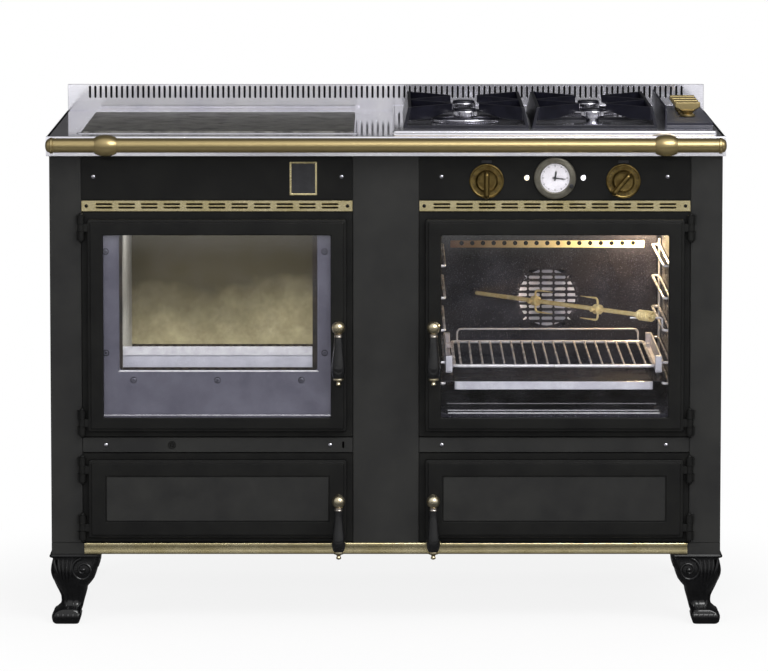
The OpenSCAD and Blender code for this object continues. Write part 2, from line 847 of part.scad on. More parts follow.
module gas_tray() {
  outer = [tray_left, tray_left + tray_w, 2, top_d - 3 * sheet];
  color(steel) placed() difference() {
    box([outer[0], outer[2], top_z], [outer[1], outer[3], tray_z]);
    box([outer[0] + sheet, outer[2] + sheet, top_z - 1],
        [outer[1] - sheet, outer[3] - sheet, tray_z - sheet]);
    for (b = burners) at_burner(b) translate([0, 0, top_z]) cylinder(h = 2 * tray_h, r = burner_cup_r + run);
    for (i = [0:3]) translate([knob_x, gas_front + i * gas_pitch, top_z])
      cylinder(h = 2 * tray_h, r = gas_shaft_r + run);
  }
}

module burner_bodies() {
  color(chrome) placed() for (b = burners) at_burner(b) {
    translate([0, 0, tray_z - 24]) cylinder(h = 24, r = burner_cup_r);
    translate([0, 0, tray_z]) cylinder(h = 3, r = burner_cup_r + 8);
    translate([0, 0, tray_z + 3]) cylinder(h = 9, r = 12);
    translate([0, 0, tray_z + 12]) cylinder(h = cap_z - tray_z - 12, r = b[2]);
    if (b[3] > 0) {
      translate([0, 0, tray_z + 3]) difference() {
        cylinder(h = ring_h, r = b[3]);
        translate([0, 0, -1]) cylinder(h = ring_h + 2, r = b[3] - 13);
      }
      for (a = [0, 90]) rotate(a) translate([-b[3] + 6, -3, tray_z + 4]) cube([2 * b[3] - 12, 6, 5]);
    }
  }
}

module burner_caps() {
  color("#1c1c20") placed() for (b = burners) at_burner(b) {
    translate([0, 0, cap_z]) cylinder(h = 5, r = b[2] - 1.5);
    if (b[3] > 0) translate([0, 0, tray_z + 3 + ring_h]) difference() {
      cylinder(h = 3, r = b[3] - 1);
      translate([0, 0, -1]) cylinder(h = 5, r = b[3] - 12);
    }
  }
}

finger_tip = 13;
finger_root = 24;
finger_reach = 26;

// A tapered finger from the plan point p to the point q, with its top at support_h
module finger(p, q) {
  run_len = norm(q - p);
  angle = atan2(q[1] - p[1], q[0] - p[0]);
  translate([p[0], p[1], tray_z + support_h]) rotate([90, 0, angle])
    linear_extrude(support_bar, center = true)
      polygon([[0, 0], [run_len, 0], [run_len, -finger_tip],
               [run_len * 0.45, -finger_root], [-4, -finger_root]]);
}

support_flare = 9;
bar_past = 4;

// A pan support: side walls leaning outward to their foot, three cross bars and eight fingers
module pan_support(column) {
  cx = burner_left + column * burner_dx;
  x0 = cx - support_w / 2;
  x1 = cx + support_w / 2;
  mid_t = burner_front + burner_dy / 2;
  back = support_front + support_d;
  half_bar = support_bar / 2;
  color("#1a1a22") placed() {
    for (side = [-1, 1]) translate([cx + side * support_w / 2, back, tray_z]) rotate([90, 0, 0])
      linear_extrude(support_d)
        polygon([[side * support_flare, 0], [0, support_h], [-side * support_bar, support_h],
                 [side * (support_flare - support_bar), 0]]);
    for (t = [support_front, mid_t - half_bar, back - support_bar])
      box([x0 - bar_past, t, tray_z], [x1 + bar_past, t + support_bar, tray_z + support_bar]);
    for (side = [-1, 1]) {
      root_x = cx + side * (support_w / 2 - half_bar);
      tip_x = cx + side * finger_reach;
      finger([root_x, support_front + half_bar + 2], [tip_x, burner_front - 8]);
      finger([root_x, mid_t - 6], [tip_x, burner_front + 10]);
      finger([root_x, mid_t + 6], [tip_x, burner_front + burner_dy - 10]);
      finger([root_x, back - half_bar - 2], [tip_x, burner_front + burner_dy + 8]);
    }
  }
}

module pan_support_left() { pan_support(0); }
module pan_support_right() { pan_support(1); }

shield_t = 3;
shield_h = 39;

module control_strip() {
  rib_pitch = 8;
  ribs = floor((strip_back - strip_front - 12) / rib_pitch);
  color("#2b2b38") placed() {
    difference() {
      union() {
        box([strip_left, strip_front, tray_z], [strip_left + strip_w, strip_back, control_z - 1]);
        for (i = [1:ribs]) box([strip_left + 8, strip_front + i * rib_pitch, control_z - 1.5],
                               [strip_left + strip_w - 4, strip_front + i * rib_pitch + 4, control_z]);
      }
      for (i = [0:3]) translate([knob_x, gas_front + i * gas_pitch, tray_z - 1])
        cylinder(h = strip_rise + 2, r = gas_shaft_r + run);
    }
    box([strip_left, strip_front, control_z - 1], [strip_left + shield_t, strip_back, tray_z + shield_h]);
  }
}

// Outline of a gas knob's bar from the front: flat top, chamfered lower corners
module gas_knob(i) {
  half = gas_bar / 2;
  skirt_z = control_z + 1;
  bar_z = control_z + 14;
  translate([0, 0, 0]) color(brass) placed() translate([knob_x, gas_front + i * gas_pitch, 0]) {
    translate([0, 7, bar_z]) rotate([90, 0, 0]) linear_extrude(14)
      polygon([[-half, 13], [half, 13], [half, 4], [half - 12, -2], [-half + 12, -2], [-half, 4]]);
    translate([0, 0, skirt_z]) cylinder(h = 4, r = 14);
    translate([0, 0, skirt_z + 4]) cylinder(h = 7, r1 = 8, r2 = 15);
    translate([0, 0, gas_rail_z + gas_rail_r + 6])
      cylinder(h = skirt_z - gas_rail_z - gas_rail_r - 6, r = gas_shaft_r);
  }
}

module gas_knob_1() { gas_knob(0); }
module gas_knob_2() { gas_knob(1); }
module gas_knob_3() { gas_knob(2); }
module gas_knob_4() { gas_knob(3); }

inlet_r = 10.5;
inlet_len = 18;

// Gas rail under the tray with a valve below each knob, and the inlet behind the cabinet
module gas_rail() {
  start = gas_front - 20;
  color(brass) placed() difference() {
    union() {
      along_depth(knob_x, gas_rail_z, start, back_t, gas_rail_r);
      along_depth(knob_x, gas_rail_z, back_t, back_t + inlet_len, inlet_r);
      for (i = [0:3]) translate([knob_x - 10, gas_front + i * gas_pitch - 10, gas_rail_z - gas_rail_r])
        cube([20, 20, 2 * gas_rail_r + 9]);
    }
    for (i = [0:3]) translate([knob_x, gas_front + i * gas_pitch, gas_rail_z + gas_rail_r + 5])
      cylinder(h = 20, r = gas_shaft_r + run);
  }
}

// ---- rail ---------------------------------------------------------------------------------

rail_r = rail_d / 2;
collar_r = rail_r + 1.8;
collar_w = 6;
bracket_w = 40;

module rail_tube() {
  body = rail_len / 2 - 8;
  color(brass) placed() translate([0, -rail_out, rail_z]) rotate([0, 90, 0]) {
    translate([0, 0, -body]) cylinder(h = 2 * body, r = rail_r);
    for (side = [0, 1]) mirror([0, 0, side]) {
      translate([0, 0, body - collar_w]) cylinder(h = collar_w, r = collar_r);
      translate([0, 0, body]) rotate_extrude() intersection() {
        translate([0, -8]) circle(r = 16);
        square([rail_r, 8]);
      }
    }
  }
}

// A barrel round the rail on a stub that is screwed to the apron
bulge = 6.4;
bulge_power = 2.6;

module rail_brackets() {
  bulge_r = bracket_d / 2;
  color(brass) placed() both_sides() translate([bracket_x, -rail_out, rail_z]) {
    difference() {
      union() {
        rotate([0, 90, 0]) rotate_extrude() polygon(concat([[0, bracket_w / 2], [0, -bracket_w / 2]],
          [for (i = [-8:8]) [bulge_r - bulge * pow(abs(i / 8), bulge_power), i * bracket_w / 16]]));
        translate([0, rail_out, 0]) rotate([90, 0, 0]) cylinder(h = rail_out - rail_r - 1, r = 8);
        translate([0, rail_out, 0]) rotate([90, 0, 0]) cylinder(h = 4, r = 12);
      }
      rotate([0, 90, 0]) translate([0, 0, -bracket_w]) cylinder(h = 2 * bracket_w, r = rail_r);
    }
  }
}

// ---- controls -----------------------------------------------------------------------------

knob_turn = 40;

module oven_knob(side) {
  x = bay_x + side * knob_dx;
  back = panel_t - dial_disc_t - run;
  turn = side < 0 ? 0 : knob_turn;
  color(brass) placed() {
    along_depth(x, dial_z, back - 5, back, knob_d / 2);
    translate([x, back - 5, dial_z]) rotate([90, 0, 0]) cylinder(h = 4, r1 = knob_d / 2, r2 = knob_d / 2 - 3);
    translate([x, back, dial_z]) rotate([0, turn, 0]) translate([-4.9, -24, -31]) cube([9.8, 24, 50]);
    along_depth(x, dial_z, back, panel_t + fascia_t + 14, 4);
  }
}

module oven_knob_left() { oven_knob(-1); }
module oven_knob_right() { oven_knob(1); }

module air_control() {
  color(black) placed() bay(-1) {
    along_depth(air_x, air_z, panel_t - run - 2, panel_t - run, air_r);
    along_depth(air_x, air_z, panel_t - run, liner_t + 4, 3);
    along_depth(air_x, air_z, panel_t - run - 3.5, panel_t - run - 2, 2.5);
  }
}

clock_r = clock_d / 2;
clock_dial_r = clock_dial_d / 2;
clock_back_r = 24;
setter_dx = 29;
setter_dz = -14;
hand_depth = 5.5;

// Clock case with its dial at the bottom of a recess, its glass, and the works behind
module clock() {
  front = panel_t - clock_depth;
  dial_at = front + hand_depth + 1;
  color("#4f4c42") placed() {
    difference() {
      union() {
        along_depth(bay_x, clock_z, front, panel_t, clock_r);
        along_depth(bay_x, clock_z, panel_t, panel_t + 30, clock_back_r - 1);
      }
      along_depth(bay_x, clock_z, front - 1, dial_at, clock_dial_r);
      along_depth(bay_x, clock_z, front, panel_t + 20, 2.6 + run);
      along_depth(bay_x + setter_dx, clock_z + setter_dz, front - 1, panel_t - 2, 1.5 + run);
    }
    along_depth(bay_x, clock_z, front, front + 1.2, clock_dial_r);
  }
}

// A hand as a tapered bar on its boss; angle counts clockwise from twelve
module clock_hand(len, wide, t, thick, angle, boss_r, bore_r) {
  translate([bay_x, t, clock_z]) difference() {
    union() {
      rotate([0, angle, 0]) rotate([90, 0, 0]) linear_extrude(thick)
        polygon([[-wide / 2, -5], [wide / 2, -5], [wide / 2, len * 0.75], [0, len], [-wide / 2, len * 0.75]]);
      rotate([90, 0, 0]) cylinder(h = thick, r = boss_r);
    }
    if (bore_r > 0) translate([0, 1, 0]) rotate([90, 0, 0]) cylinder(h = thick + 2, r = bore_r);
  }
}

module clock_hour_hand() {
  t = panel_t - clock_depth + 4.9;
  color("#16161a") placed() {
    clock_hand(14, 3, t, 0.8, 8, 2.6, hand_shaft_r + pin_play);
    difference() {
      along_depth(bay_x, clock_z, t, panel_t + 16, 2.6);
      along_depth(bay_x, clock_z, t - 1, panel_t + 17, hand_shaft_r + pin_play);
    }
  }
}

module clock_minute_hand() {
  t = panel_t - clock_depth + 3;
  color("#16161a") placed() {
    clock_hand(20, 2, t, 0.8, 96, 2.6, 0);
    along_depth(bay_x, clock_z, t, panel_t + 19, hand_shaft_r);
  }
}

module clock_setter() {
  front = panel_t - clock_depth;
  color("#16161a") placed() {
    along_depth(bay_x + setter_dx, clock_z + setter_dz, front - run - 5, front - run, 4);
    along_depth(bay_x + setter_dx, clock_z + setter_dz, front - run, panel_t - 2.3, 1.5);
  }
}

// ---- oven ---------------------------------------------------------------------------------

liner_wall = 2;
motor_t = oven_t + oven_d + liner_wall;
motor_shaft_r = 4;

module oven_liner() {
  x0 = oven_cx - oven_w / 2;
  x1 = oven_cx + oven_w / 2;
  z1 = oven_floor + oven_h;
  w = liner_wall;
  color(enamel) placed() difference() {
    union() {
      box([x0 - w, oven_t, oven_floor - w], [x1 + w, motor_t, z1 + w]);
      plate(inset(upper_hole, -flange_lap), oven_t, oven_t + w);
    }
    box([x0, oven_t - 1, oven_floor], [x1, oven_t + oven_d, z1]);
    along_depth(oven_cx, fan_z, oven_t + oven_d - 1, motor_t + 1, motor_shaft_r + run);
  }
}

fan_rows = 10;
fan_row_gap = 11;
fan_slot_h = 6;
fan_guard_r = 57;
vent_holes = 17;
vent_hole_gap = 20;
cover_edge = 16;
cover_z1 = oven_floor + oven_h - 30;
socket_r = 9;

// False back of the oven: rows of slots over the fan, a row of holes along the top
module fan_cover() {
  x0 = oven_cx - oven_w / 2 + 8;
  x1 = oven_cx + oven_w / 2 - 8;
  z0 = oven_floor + 8;
  color(enamel) placed() {
    difference() {
      union() {
        box([x0, cover_t, z0], [x1, cover_t + 1.5, cover_z1]);
        for (x = [x0, x1 - 1.5]) box([x, cover_t, z0], [x + 1.5, oven_t + oven_d, cover_z1]);
      }
      for (row = [0:fan_rows - 1]) {
        dz = (row - (fan_rows - 1) / 2) * fan_row_gap;
        half = sqrt(fan_guard_r * fan_guard_r - dz * dz);
        for (x = [-half, 3]) box([oven_cx + x, cover_t - 1, fan_z + dz - fan_slot_h / 2],
                                 [oven_cx + x + half - 3, cover_t + 3, fan_z + dz + fan_slot_h / 2]);
      }
      for (i = [0:vent_holes - 1]) along_depth(oven_cx + (i - (vent_holes - 1) / 2) * vent_hole_gap,
                                              cover_z1 - 32, cover_t - 1, cover_t + 3, 5);
    }
    along_spit(spit_len - 14, spit_len - 4) difference() {
      cylinder(h = 10, r = socket_r);
      translate([0, 0, -1]) cylinder(h = 12, r = spit_d / 2 + pin_play);
    }
  }
}

rack_wire = 2.5;
rack_low = 52;
rack_mid = shelf_rise + rack_wire + 3.5;
rack_levels = [rack_low, rack_mid, rack_mid + rack_pitch, rack_mid + 2 * rack_pitch,
    rack_mid + 3 * rack_pitch];

// Wire ladders on both walls, and the telescopic runners that carry the shelf
module side_racks() {
  color(chrome) placed() translate([oven_cx, 0, 0]) both_sides() {
    for (t = [rack_front + 10, rack_back - 10])
      translate([rack_x, t, oven_floor]) cylinder(h = rack_levels[4] + 12, r = rack_wire);
    for (z = rack_levels) {
      along_depth(rack_x, oven_floor + z, rack_front, rack_back, rack_wire);
      along_depth(rack_x - 12, oven_floor + z, rack_front, rack_back, rack_wire);
      for (t = [rack_front, rack_back]) translate([rack_x - 12, t, oven_floor + z]) rotate([0, 90, 0])
        cylinder(h = 12, r = rack_wire);
    }
    difference() {
      box([rack_x - runner_lap - runner_w, rack_front - 4, shelf_z - runner_h + 18],
          [rack_x - runner_lap, rack_back - 20, shelf_z + 18]);
      box([rack_x - runner_lap - runner_w - 1, rack_front + 14, shelf_z - runner_seat],
          [rack_x - runner_lap - 3, rack_back - 40, shelf_z + 12]);
    }
    for (t = [rack_front + 6, rack_back - 50])
      box([rack_x - runner_lap, t, shelf_z + 2], [rack_x - 12, t + 14, shelf_z + 9]);
  }
  // wire rest under the front end of the spit, on the right rack
  color(chrome) placed() translate([oven_cx, spit_front_t + 40, oven_floor]) {
    translate([rack_x - 12, 0, rack_levels[2]])
      cylinder(h = spit_z - oven_floor - rack_levels[2] - 4.3, r = 2);
    translate([rack_x - 70, 0, spit_z - oven_floor - spit_d / 2 - 2.3])
      rotate([0, 90, 0]) cylinder(h = 58, r = 2);
  }
}

frame_wire = 3;

module oven_shelf() {
  pitch = 2 * (shelf_half - 12) / (wire_n - 1);
  t0 = rack_front - 2;
  t1 = rack_back - 22;
  color(chrome) placed() translate([oven_cx, 0, 0]) {
    for (i = [0:wire_n - 1]) along_depth((i - (wire_n - 1) / 2) * pitch, shelf_z, t0, t1, wire_d / 2);
    for (t = [t0, t1]) translate([-shelf_half, t, shelf_z])
      rotate([0, 90, 0]) cylinder(h = 2 * shelf_half, r = frame_wire);
    both_sides() along_depth(shelf_half, shelf_z, t0, t1, frame_wire);
    both_sides() translate([shelf_half - 10, t1, shelf_z]) cylinder(h = 24, r = wire_d / 2);
    translate([-shelf_half + 10, t1, shelf_z + 24])
      rotate([0, 90, 0]) cylinder(h = 2 * shelf_half - 20, r = wire_d / 2);
    for (t = [t0 + 22, t1 - 44]) both_sides()
      box([shelf_half + 1, t, shelf_z - runner_seat], [rack_x - runner_lap - 5, t + 12, shelf_z + 2]);
  }
}

module drip_tray() {
  rest_z = oven_floor + rack_levels[0] + rack_wire;
  half = shelf_half + 2;
  flange = rack_x - 6;
  depth = 14;
  t0 = rack_front - 2;
  t1 = rack_back - 20;
  color(chrome) placed() translate([oven_cx, 0, 0]) {
    difference() {
      box([-half, t0, rest_z - depth], [half, t1, rest_z + 1.5]);
      box([-half + 1.5, t0 + 1.5, rest_z - depth + 1.5], [half - 1.5, t1 - 1.5, rest_z + 3]);
    }
    both_sides() box([half, t0 + 4, rest_z], [flange, t1 - 4, rest_z + 1.5]);
  }
}

// Children point along the spit, from its front end towards the back wall
module along_spit(from, to) {
  translate([spit_front_x, spit_front_t, spit_z]) rotate([0, 0, spit_angle]) translate([from, 0, 0])
    rotate([0, 90, 0]) children();
}

fork_at = [150, 330];

module spit() {
  coil_r = 10;
  color(chrome) placed() {
    along_spit(0, spit_len) cylinder(h = spit_len - 3, r = spit_d / 2);
    for (i = [0:4]) along_spit(2 + i * 8, 8 + i * 8) cylinder(h = 5, r = coil_r);
    for (at = fork_at) {
      along_spit(at, at + 14) cylinder(h = 14, r = 9);
      dir = at < 200 ? 1 : -1;
      for (a = [0, 180]) along_spit(at + 7, at + 60) rotate(a) {
        translate([0, 0, -2]) rotate([0, 90, 0]) cylinder(h = 20, r = 2);
        translate([20, 0, dir > 0 ? -2 : -50]) cylinder(h = 52, r = 2);
      }
    }
  }
}

blade_n = 8;

module fan_wheel() {
  t0 = cover_t + 5;
  t1 = oven_t + oven_d - 3;
  color(steel) placed() {
    along_depth(oven_cx, fan_z, t0 + 4, t0 + 6, fan_d / 2 - 12);
    along_depth(oven_cx, fan_z, t0 + 2, t1, 9);
    along_depth(oven_cx, fan_z, t1, motor_t + 12, motor_shaft_r);
    for (i = [0:blade_n - 1]) translate([oven_cx, t1, fan_z]) rotate([0, i * 360 / blade_n, 0])
      translate([-1, t0 - t1, 20]) cube([2, t1 - t0, fan_d / 2 - 20]);
  }
}

module fan_motor() {
  color(steel) placed() {
    difference() {
      union() {
        along_depth(oven_cx, fan_z, motor_t, motor_t + 6, 34);
        along_depth(oven_cx, fan_z, motor_t + 6, motor_t + 48, 28);
      }
      along_depth(oven_cx, fan_z, motor_t - 1, motor_t + 13, motor_shaft_r + run);
    }
    // ring element round the fan wheel, standing on the liner's back wall
    translate([oven_cx, oven_t + oven_d - 12, fan_z]) rotate([90, 0, 0]) rotate_extrude($fn = 96)
      translate([fan_d / 2 + 14, 0]) circle(r = 3.5);
    for (a = [45, 135, 225, 315]) translate([oven_cx, 0, fan_z]) rotate([0, a, 0])
      along_depth(fan_d / 2 + 14, 0, oven_t + oven_d - 12, oven_t + oven_d, 2);
  }
}

// ---- fire ---------------------------------------------------------------------------------

shell_wall = 5;
shell_top = plate_seat;
flange_lap = 6;
lining_top = upper_z + upper_h;
flue_back = fire_t + fire_d;
flue_wall = 4;

module firebox_shell() {
  z0 = fire_floor - shell_wall;
  w = shell_wall;
  mouth = [bay_x - fire_w / 2, bay_x + fire_w / 2, fire_floor, upper_hole[3] - 12];
  color(iron) placed() bay(-1) difference() {
    union() {
      box([bay_x - shell_in - w, fire_t, z0], [bay_x + shell_in + w, flue_back + w, shell_top]);
      plate(inset(upper_hole, -flange_lap), fire_t, fire_t + w);
    }
    box([bay_x - shell_in, fire_t + w, z0 + w], [bay_x + shell_in, flue_back, shell_top + 1]);
    plate(mouth, fire_t - 1, fire_t + w + 1);
    along_depth(bay_x, flue_z, flue_back - 1, flue_back + w + 1, flue_d / 2 - flue_wall);
  }
}

module fire_lining() {
  z0 = fire_floor;
  x0 = bay_x - shell_in;
  x1 = bay_x + shell_in;
  t0 = fire_t + shell_wall;
  color(clay) placed() bay(-1) {
    difference() {
      box([x0, flue_back - lining, z0], [x1, flue_back, lining_top]);
      along_depth(bay_x, flue_z, flue_back - lining - 1, flue_back + 1, flue_d / 2 - flue_wall);
    }
    for (x = [x0, x1 - lining]) box([x, t0, z0], [x + lining, flue_back - lining, lining_top]);
  }
}

guard_h = 37;
ash_h = 60;
ledge_w = 12;

// Grate on ledges, log guard in front of it, ash pan beneath
module fire_grate() {
  x0 = bay_x - fire_w / 2;
  x1 = bay_x + fire_w / 2;
  t0 = fire_t + shell_wall + 2;
  t1 = flue_back - lining;
  bar = 8;
  bars = floor((x1 - x0 - 2 * bar) / (2 * bar));
  color(iron) placed() bay(-1) {
    box([x0, t0, grate_z - 12], [x1, t0 + bar, grate_z]);
    box([x0, t1 - bar, grate_z - 12], [x1, t1, grate_z]);
    for (i = [0:bars])
      box([x0 + bar + i * 2 * bar, t0, grate_z - 12], [x0 + 2 * bar + i * 2 * bar, t1, grate_z]);
    box([x0, t0, grate_z], [x1, t0 + 4, grate_z + guard_h]);
    box([x0 + 1, t0 - 4, grate_z + guard_h - 16], [x1 - 1, t0, grate_z + guard_h]);
    for (x = [x0, x1 - ledge_w]) box([x, t0, fire_floor], [x + ledge_w, t1, grate_z - 12]);
    difference() {
      box([x0 + 16, t0 + 6, fire_floor], [x1 - 16, t1 - 20, fire_floor + ash_h]);
      box([x0 + 18, t0 + 8, fire_floor + 2], [x1 - 18, t1 - 22, fire_floor + ash_h + 1]);
    }
  }
}

module flue_outlet() {
  end = top_d + flue_out;
  start = flue_back + shell_wall;
  color(iron) placed() bay(-1) difference() {
    union() {
      along_depth(bay_x, flue_z, start, end, flue_d / 2);
      along_depth(bay_x, flue_z, start, back_t - 2 * sheet, flue_d / 2 + 3);
      along_depth(bay_x, flue_z, start, start + 6, flue_d / 2 + 12);
    }
    along_depth(bay_x, flue_z, start - 1, end + 1, flue_d / 2 - flue_wall);
  }
}

module lower_liners() {
  r = lower_hole;
  w = 2;
  depth = 420;
  color(black) placed() both_sides() difference() {
    plate(inset(r, -w), liner_t, liner_t + depth + w);
    plate(r, liner_t - 1, liner_t + depth);
  }
}

legs();
base_frame();
base_trim();
front_columns();
outer_panels();
surrounds();
mid_strips();
vent_strips();
fascias();
fascia_fittings();
panel_screws();
hinges();
worktop();
backsplash();
hotplate();
hotplate_plug();
gas_tray();
burner_bodies();
burner_caps();
pan_support_left();
pan_support_right();
control_strip();
gas_knob_1();
gas_knob_2();
gas_knob_3();
gas_knob_4();
gas_rail();
rail_tube();
rail_brackets();
fire_door();
fire_door_frame();
fire_door_glass();
oven_door();
oven_door_glass();
wood_door();
store_door();
handle_fire_door();
handle_oven_door();
handle_wood_door();
handle_store_door();
air_control();
oven_knob_left();
oven_knob_right();
clock();
clock_hour_hand();
clock_minute_hand();
clock_setter();
oven_liner();
fan_cover();
side_racks();
oven_shelf();
drip_tray();
spit();
fan_wheel();
fan_motor();
firebox_shell();
fire_lining();
fire_grate();
flue_outlet();
lower_liners();
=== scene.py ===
"""A cast iron range cooker with a wood fire, an electric oven and a gas hob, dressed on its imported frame."""

import logging
import math
from dataclasses import dataclass
from enum import Enum

import bmesh
import bpy
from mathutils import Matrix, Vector
from mathutils.geometry import tessellate_polygon


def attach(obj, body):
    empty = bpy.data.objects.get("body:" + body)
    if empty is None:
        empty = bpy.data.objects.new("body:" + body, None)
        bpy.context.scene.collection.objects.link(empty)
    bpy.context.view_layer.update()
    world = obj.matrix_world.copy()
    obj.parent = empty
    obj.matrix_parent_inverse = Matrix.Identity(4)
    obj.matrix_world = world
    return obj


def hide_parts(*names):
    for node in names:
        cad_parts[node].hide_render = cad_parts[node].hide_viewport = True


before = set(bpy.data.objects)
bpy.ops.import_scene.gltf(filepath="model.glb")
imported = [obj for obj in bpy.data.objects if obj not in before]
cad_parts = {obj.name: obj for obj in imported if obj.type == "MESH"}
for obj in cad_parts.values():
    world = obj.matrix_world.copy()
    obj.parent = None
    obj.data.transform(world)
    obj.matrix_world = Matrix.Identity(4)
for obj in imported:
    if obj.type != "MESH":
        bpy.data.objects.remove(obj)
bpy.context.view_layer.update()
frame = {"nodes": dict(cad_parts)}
log = logging.getLogger("cooker")

# The worktop's front edge in the row frame, in millimetres. Depths below are measured back from it.
FRONT_Y = -308.0
MM = 0.001
WHITE = (1, 1, 1, 1)
SIDES = ((-1, "left"), (1, "right"))
UP = (0, 0, 1)
DOWN = (0, 0, -1)
REARWARD = (0, 1, 0)

Point = tuple[float, float, float]
Flat = tuple[float, float]
Rect = tuple[float, float, float, float]
Socket = bpy.types.NodeSocket


def at(point: Point) -> Vector:
    """Turns a place in millimetres (right, back from the worktop's edge, up) into the row frame's metres."""
    return Vector((point[0], point[1] + FRONT_Y, point[2])) * MM


def linear(code: str) -> tuple[float, float, float, float]:
    """Turns an sRGB hex colour into linear light.

    Args:
        code: The colour, such as "#a0b1c2".

    Returns:
        Red, green, blue and a full alpha.
    """
    parts = [int(code[i : i + 2], 16) / 255 for i in (1, 3, 5)]
    bent = [c / 12.92 if c <= 0.04045 else ((c + 0.055) / 1.055) ** 2.4 for c in parts]
    return (*bent, 1)


class Nodes:
    """The node tree of a material or a world, and the few ways to fill it."""

    def __init__(self, owner: bpy.types.Material | bpy.types.World) -> None:
        """Empties the owner's tree."""
        owner.use_nodes = True
        self.tree = owner.node_tree
        self.tree.nodes.clear()

    def add(self, kind: str, links: dict | None = None, **settings: object) -> bpy.types.Node:
        """Adds a node with its settings, and links or values for its inputs.

        Args:
            kind: The node's type after "ShaderNode".
            links: For each input's name or number, a socket to link or a value to set.
            settings: Properties of the node.

        Returns:
            The new node.
        """
        node = self.tree.nodes.new("ShaderNode" + kind)
        for key, value in settings.items():
            setattr(node, key, value)
        for name, source in (links or {}).items():
            if isinstance(source, Socket):
                self.tree.links.new(source, node.inputs[name])
            else:
                node.inputs[name].default_value = source
        return node

    def place(self) -> Socket:
        """Returns the piece's own coordinates, in metres."""
        return self.add("TexCoord").outputs["Object"]

    def axis(self, place: Socket, name: str) -> Socket:
        """Returns one axis of a place."""
        return self.add("SeparateXYZ", {0: place}).outputs[name]

    def maths(self, operation: str, *values: Socket | float, clamp: bool = False) -> Socket:
        """Returns the outcome of one operation on sockets and numbers."""
        return self.add("Math", dict(enumerate(values)), operation=operation, use_clamp=clamp).outputs[0]

    def remap(self, value: Socket, reach: Flat, levels: Flat = (0.0, 1.0), soft: bool = False) -> Socket:
        """Carries a value from one span to another.

        Args:
            value: The value.
            reach: Where the step starts and ends.
            levels: What the value becomes there.
            soft: Whether it eases in and out.

        Returns:
            The new value.
        """
        ends = {"From Min": reach[0], "From Max": reach[1], "To Min": levels[0], "To Max": levels[1]}
        kind = "SMOOTHSTEP" if soft else "LINEAR"
        return self.add("MapRange", {"Value": value, **ends}, interpolation_type=kind).outputs[0]

    def noise(self, place: Socket, scale: float, detail: float = 2.0, roughness: float = 0.5) -> Socket:
        """Returns cloudy noise round one half."""
        settings = {"Vector": place, "Scale": scale, "Detail": detail, "Roughness": roughness}
        return self.add("TexNoise", settings).outputs["Fac"]

    def blend(self, factor: Socket, one: Socket | str, two: Socket | str) -> Socket:
        """Mixes two colours, each a socket or a hex code."""
        first, second = (linear(c) if isinstance(c, str) else c for c in (one, two))
        return self.add("Mix", {"Factor": factor, 6: first, 7: second}, data_type="RGBA").outputs[2]

    def mix(self, share: Socket, one: Socket, two: Socket) -> Socket:
        """Mixes two surfaces by a share of the second."""
        return self.add("MixShader", {0: share, 1: one, 2: two}).outputs[0]

    def light(self, kind: str, strength: Socket | float) -> Socket:
        """Returns plain white light of a strength."""
        return self.add(kind, {"Color": WHITE, "Strength": strength}).outputs[0]

    def seen(self) -> tuple[Socket, Socket]:
        """Returns whether the camera looks here, straight or through glass, and whether gloss does."""
        path = self.add("LightPath").outputs
        camera = self.maths("MAXIMUM", path["Is Camera Ray"], path["Is Transmission Ray"])
        return camera, path["Is Glossy Ray"]


# ---- finishes -----------------------------------------------------------------------------


@dataclass(frozen=True)
class Look:
    """A named material and the slot it stands in."""

    name: str
    slot: str

    def material(self) -> bpy.types.Material:
        """Returns the material, made the first time it is asked for."""
        return bpy.data.materials.get(self.name) or self.make()

    def make(self) -> bpy.types.Material:
        """Makes the material.

        Returns:
            The new material, with its surface on its output.
        """
        material = bpy.data.materials.new(self.name)
        nodes = Nodes(material)
        nodes.add("OutputMaterial", {"Surface": self.surface(nodes, nodes.place())})
        return material

    def surface(self, nodes: Nodes, place: Socket) -> Socket:
        """Builds the surface; each kind of finish says how."""
        raise NotImplementedError


@dataclass(frozen=True)
class Finish(Look):
    """A finish with two tones in patches, a fine grain in relief, and a gloss that varies.

    The grain may be drawn out along an axis, as brushing or rolling leaves it.
    """

    tone: str
    second: str
    patch_mm: float = 60.0
    rough: Flat = (0.4, 0.55)
    grain_mm: float = 1.5
    relief: float = 0.15
    metallic: float = 0.0
    coat: float = 0.0
    draw: Point = (1, 1, 1)
    specular: float = 0.5

    def surface(self, nodes: Nodes, place: Socket) -> Socket:
        """Lays the grain's relief and an uneven gloss over the colour."""
        colour = self.colour(nodes, place)
        drawn = nodes.add("Mapping", {"Vector": place, "Scale": self.draw}).outputs[0]
        grain = nodes.noise(drawn, 1000 / self.grain_mm, 2, 0.6)
        wide = nodes.noise(place, 350 / self.patch_mm, 3)
        rough = nodes.remap(nodes.maths("ADD", grain, wide), (0.7, 1.3), self.rough)
        bump = nodes.add("Bump", {"Height": grain, "Strength": self.relief, "Distance": 0.0004})
        settings = {
            "Base Color": colour, "Roughness": rough, "Normal": bump.outputs[0], "Metallic": self.metallic,
            "Coat Weight": self.coat, "Coat Roughness": 0.08, "Specular IOR Level": self.specular
        }
        return nodes.add("BsdfPrincipled", settings).outputs[0]

    def colour(self, nodes: Nodes, place: Socket) -> Socket:
        """Mixes the two tones in soft patches."""
        patch = nodes.noise(place, 1000 / self.patch_mm, 6, 0.62)
        return nodes.blend(nodes.remap(patch, (0.34, 0.66)), self.tone, self.second)


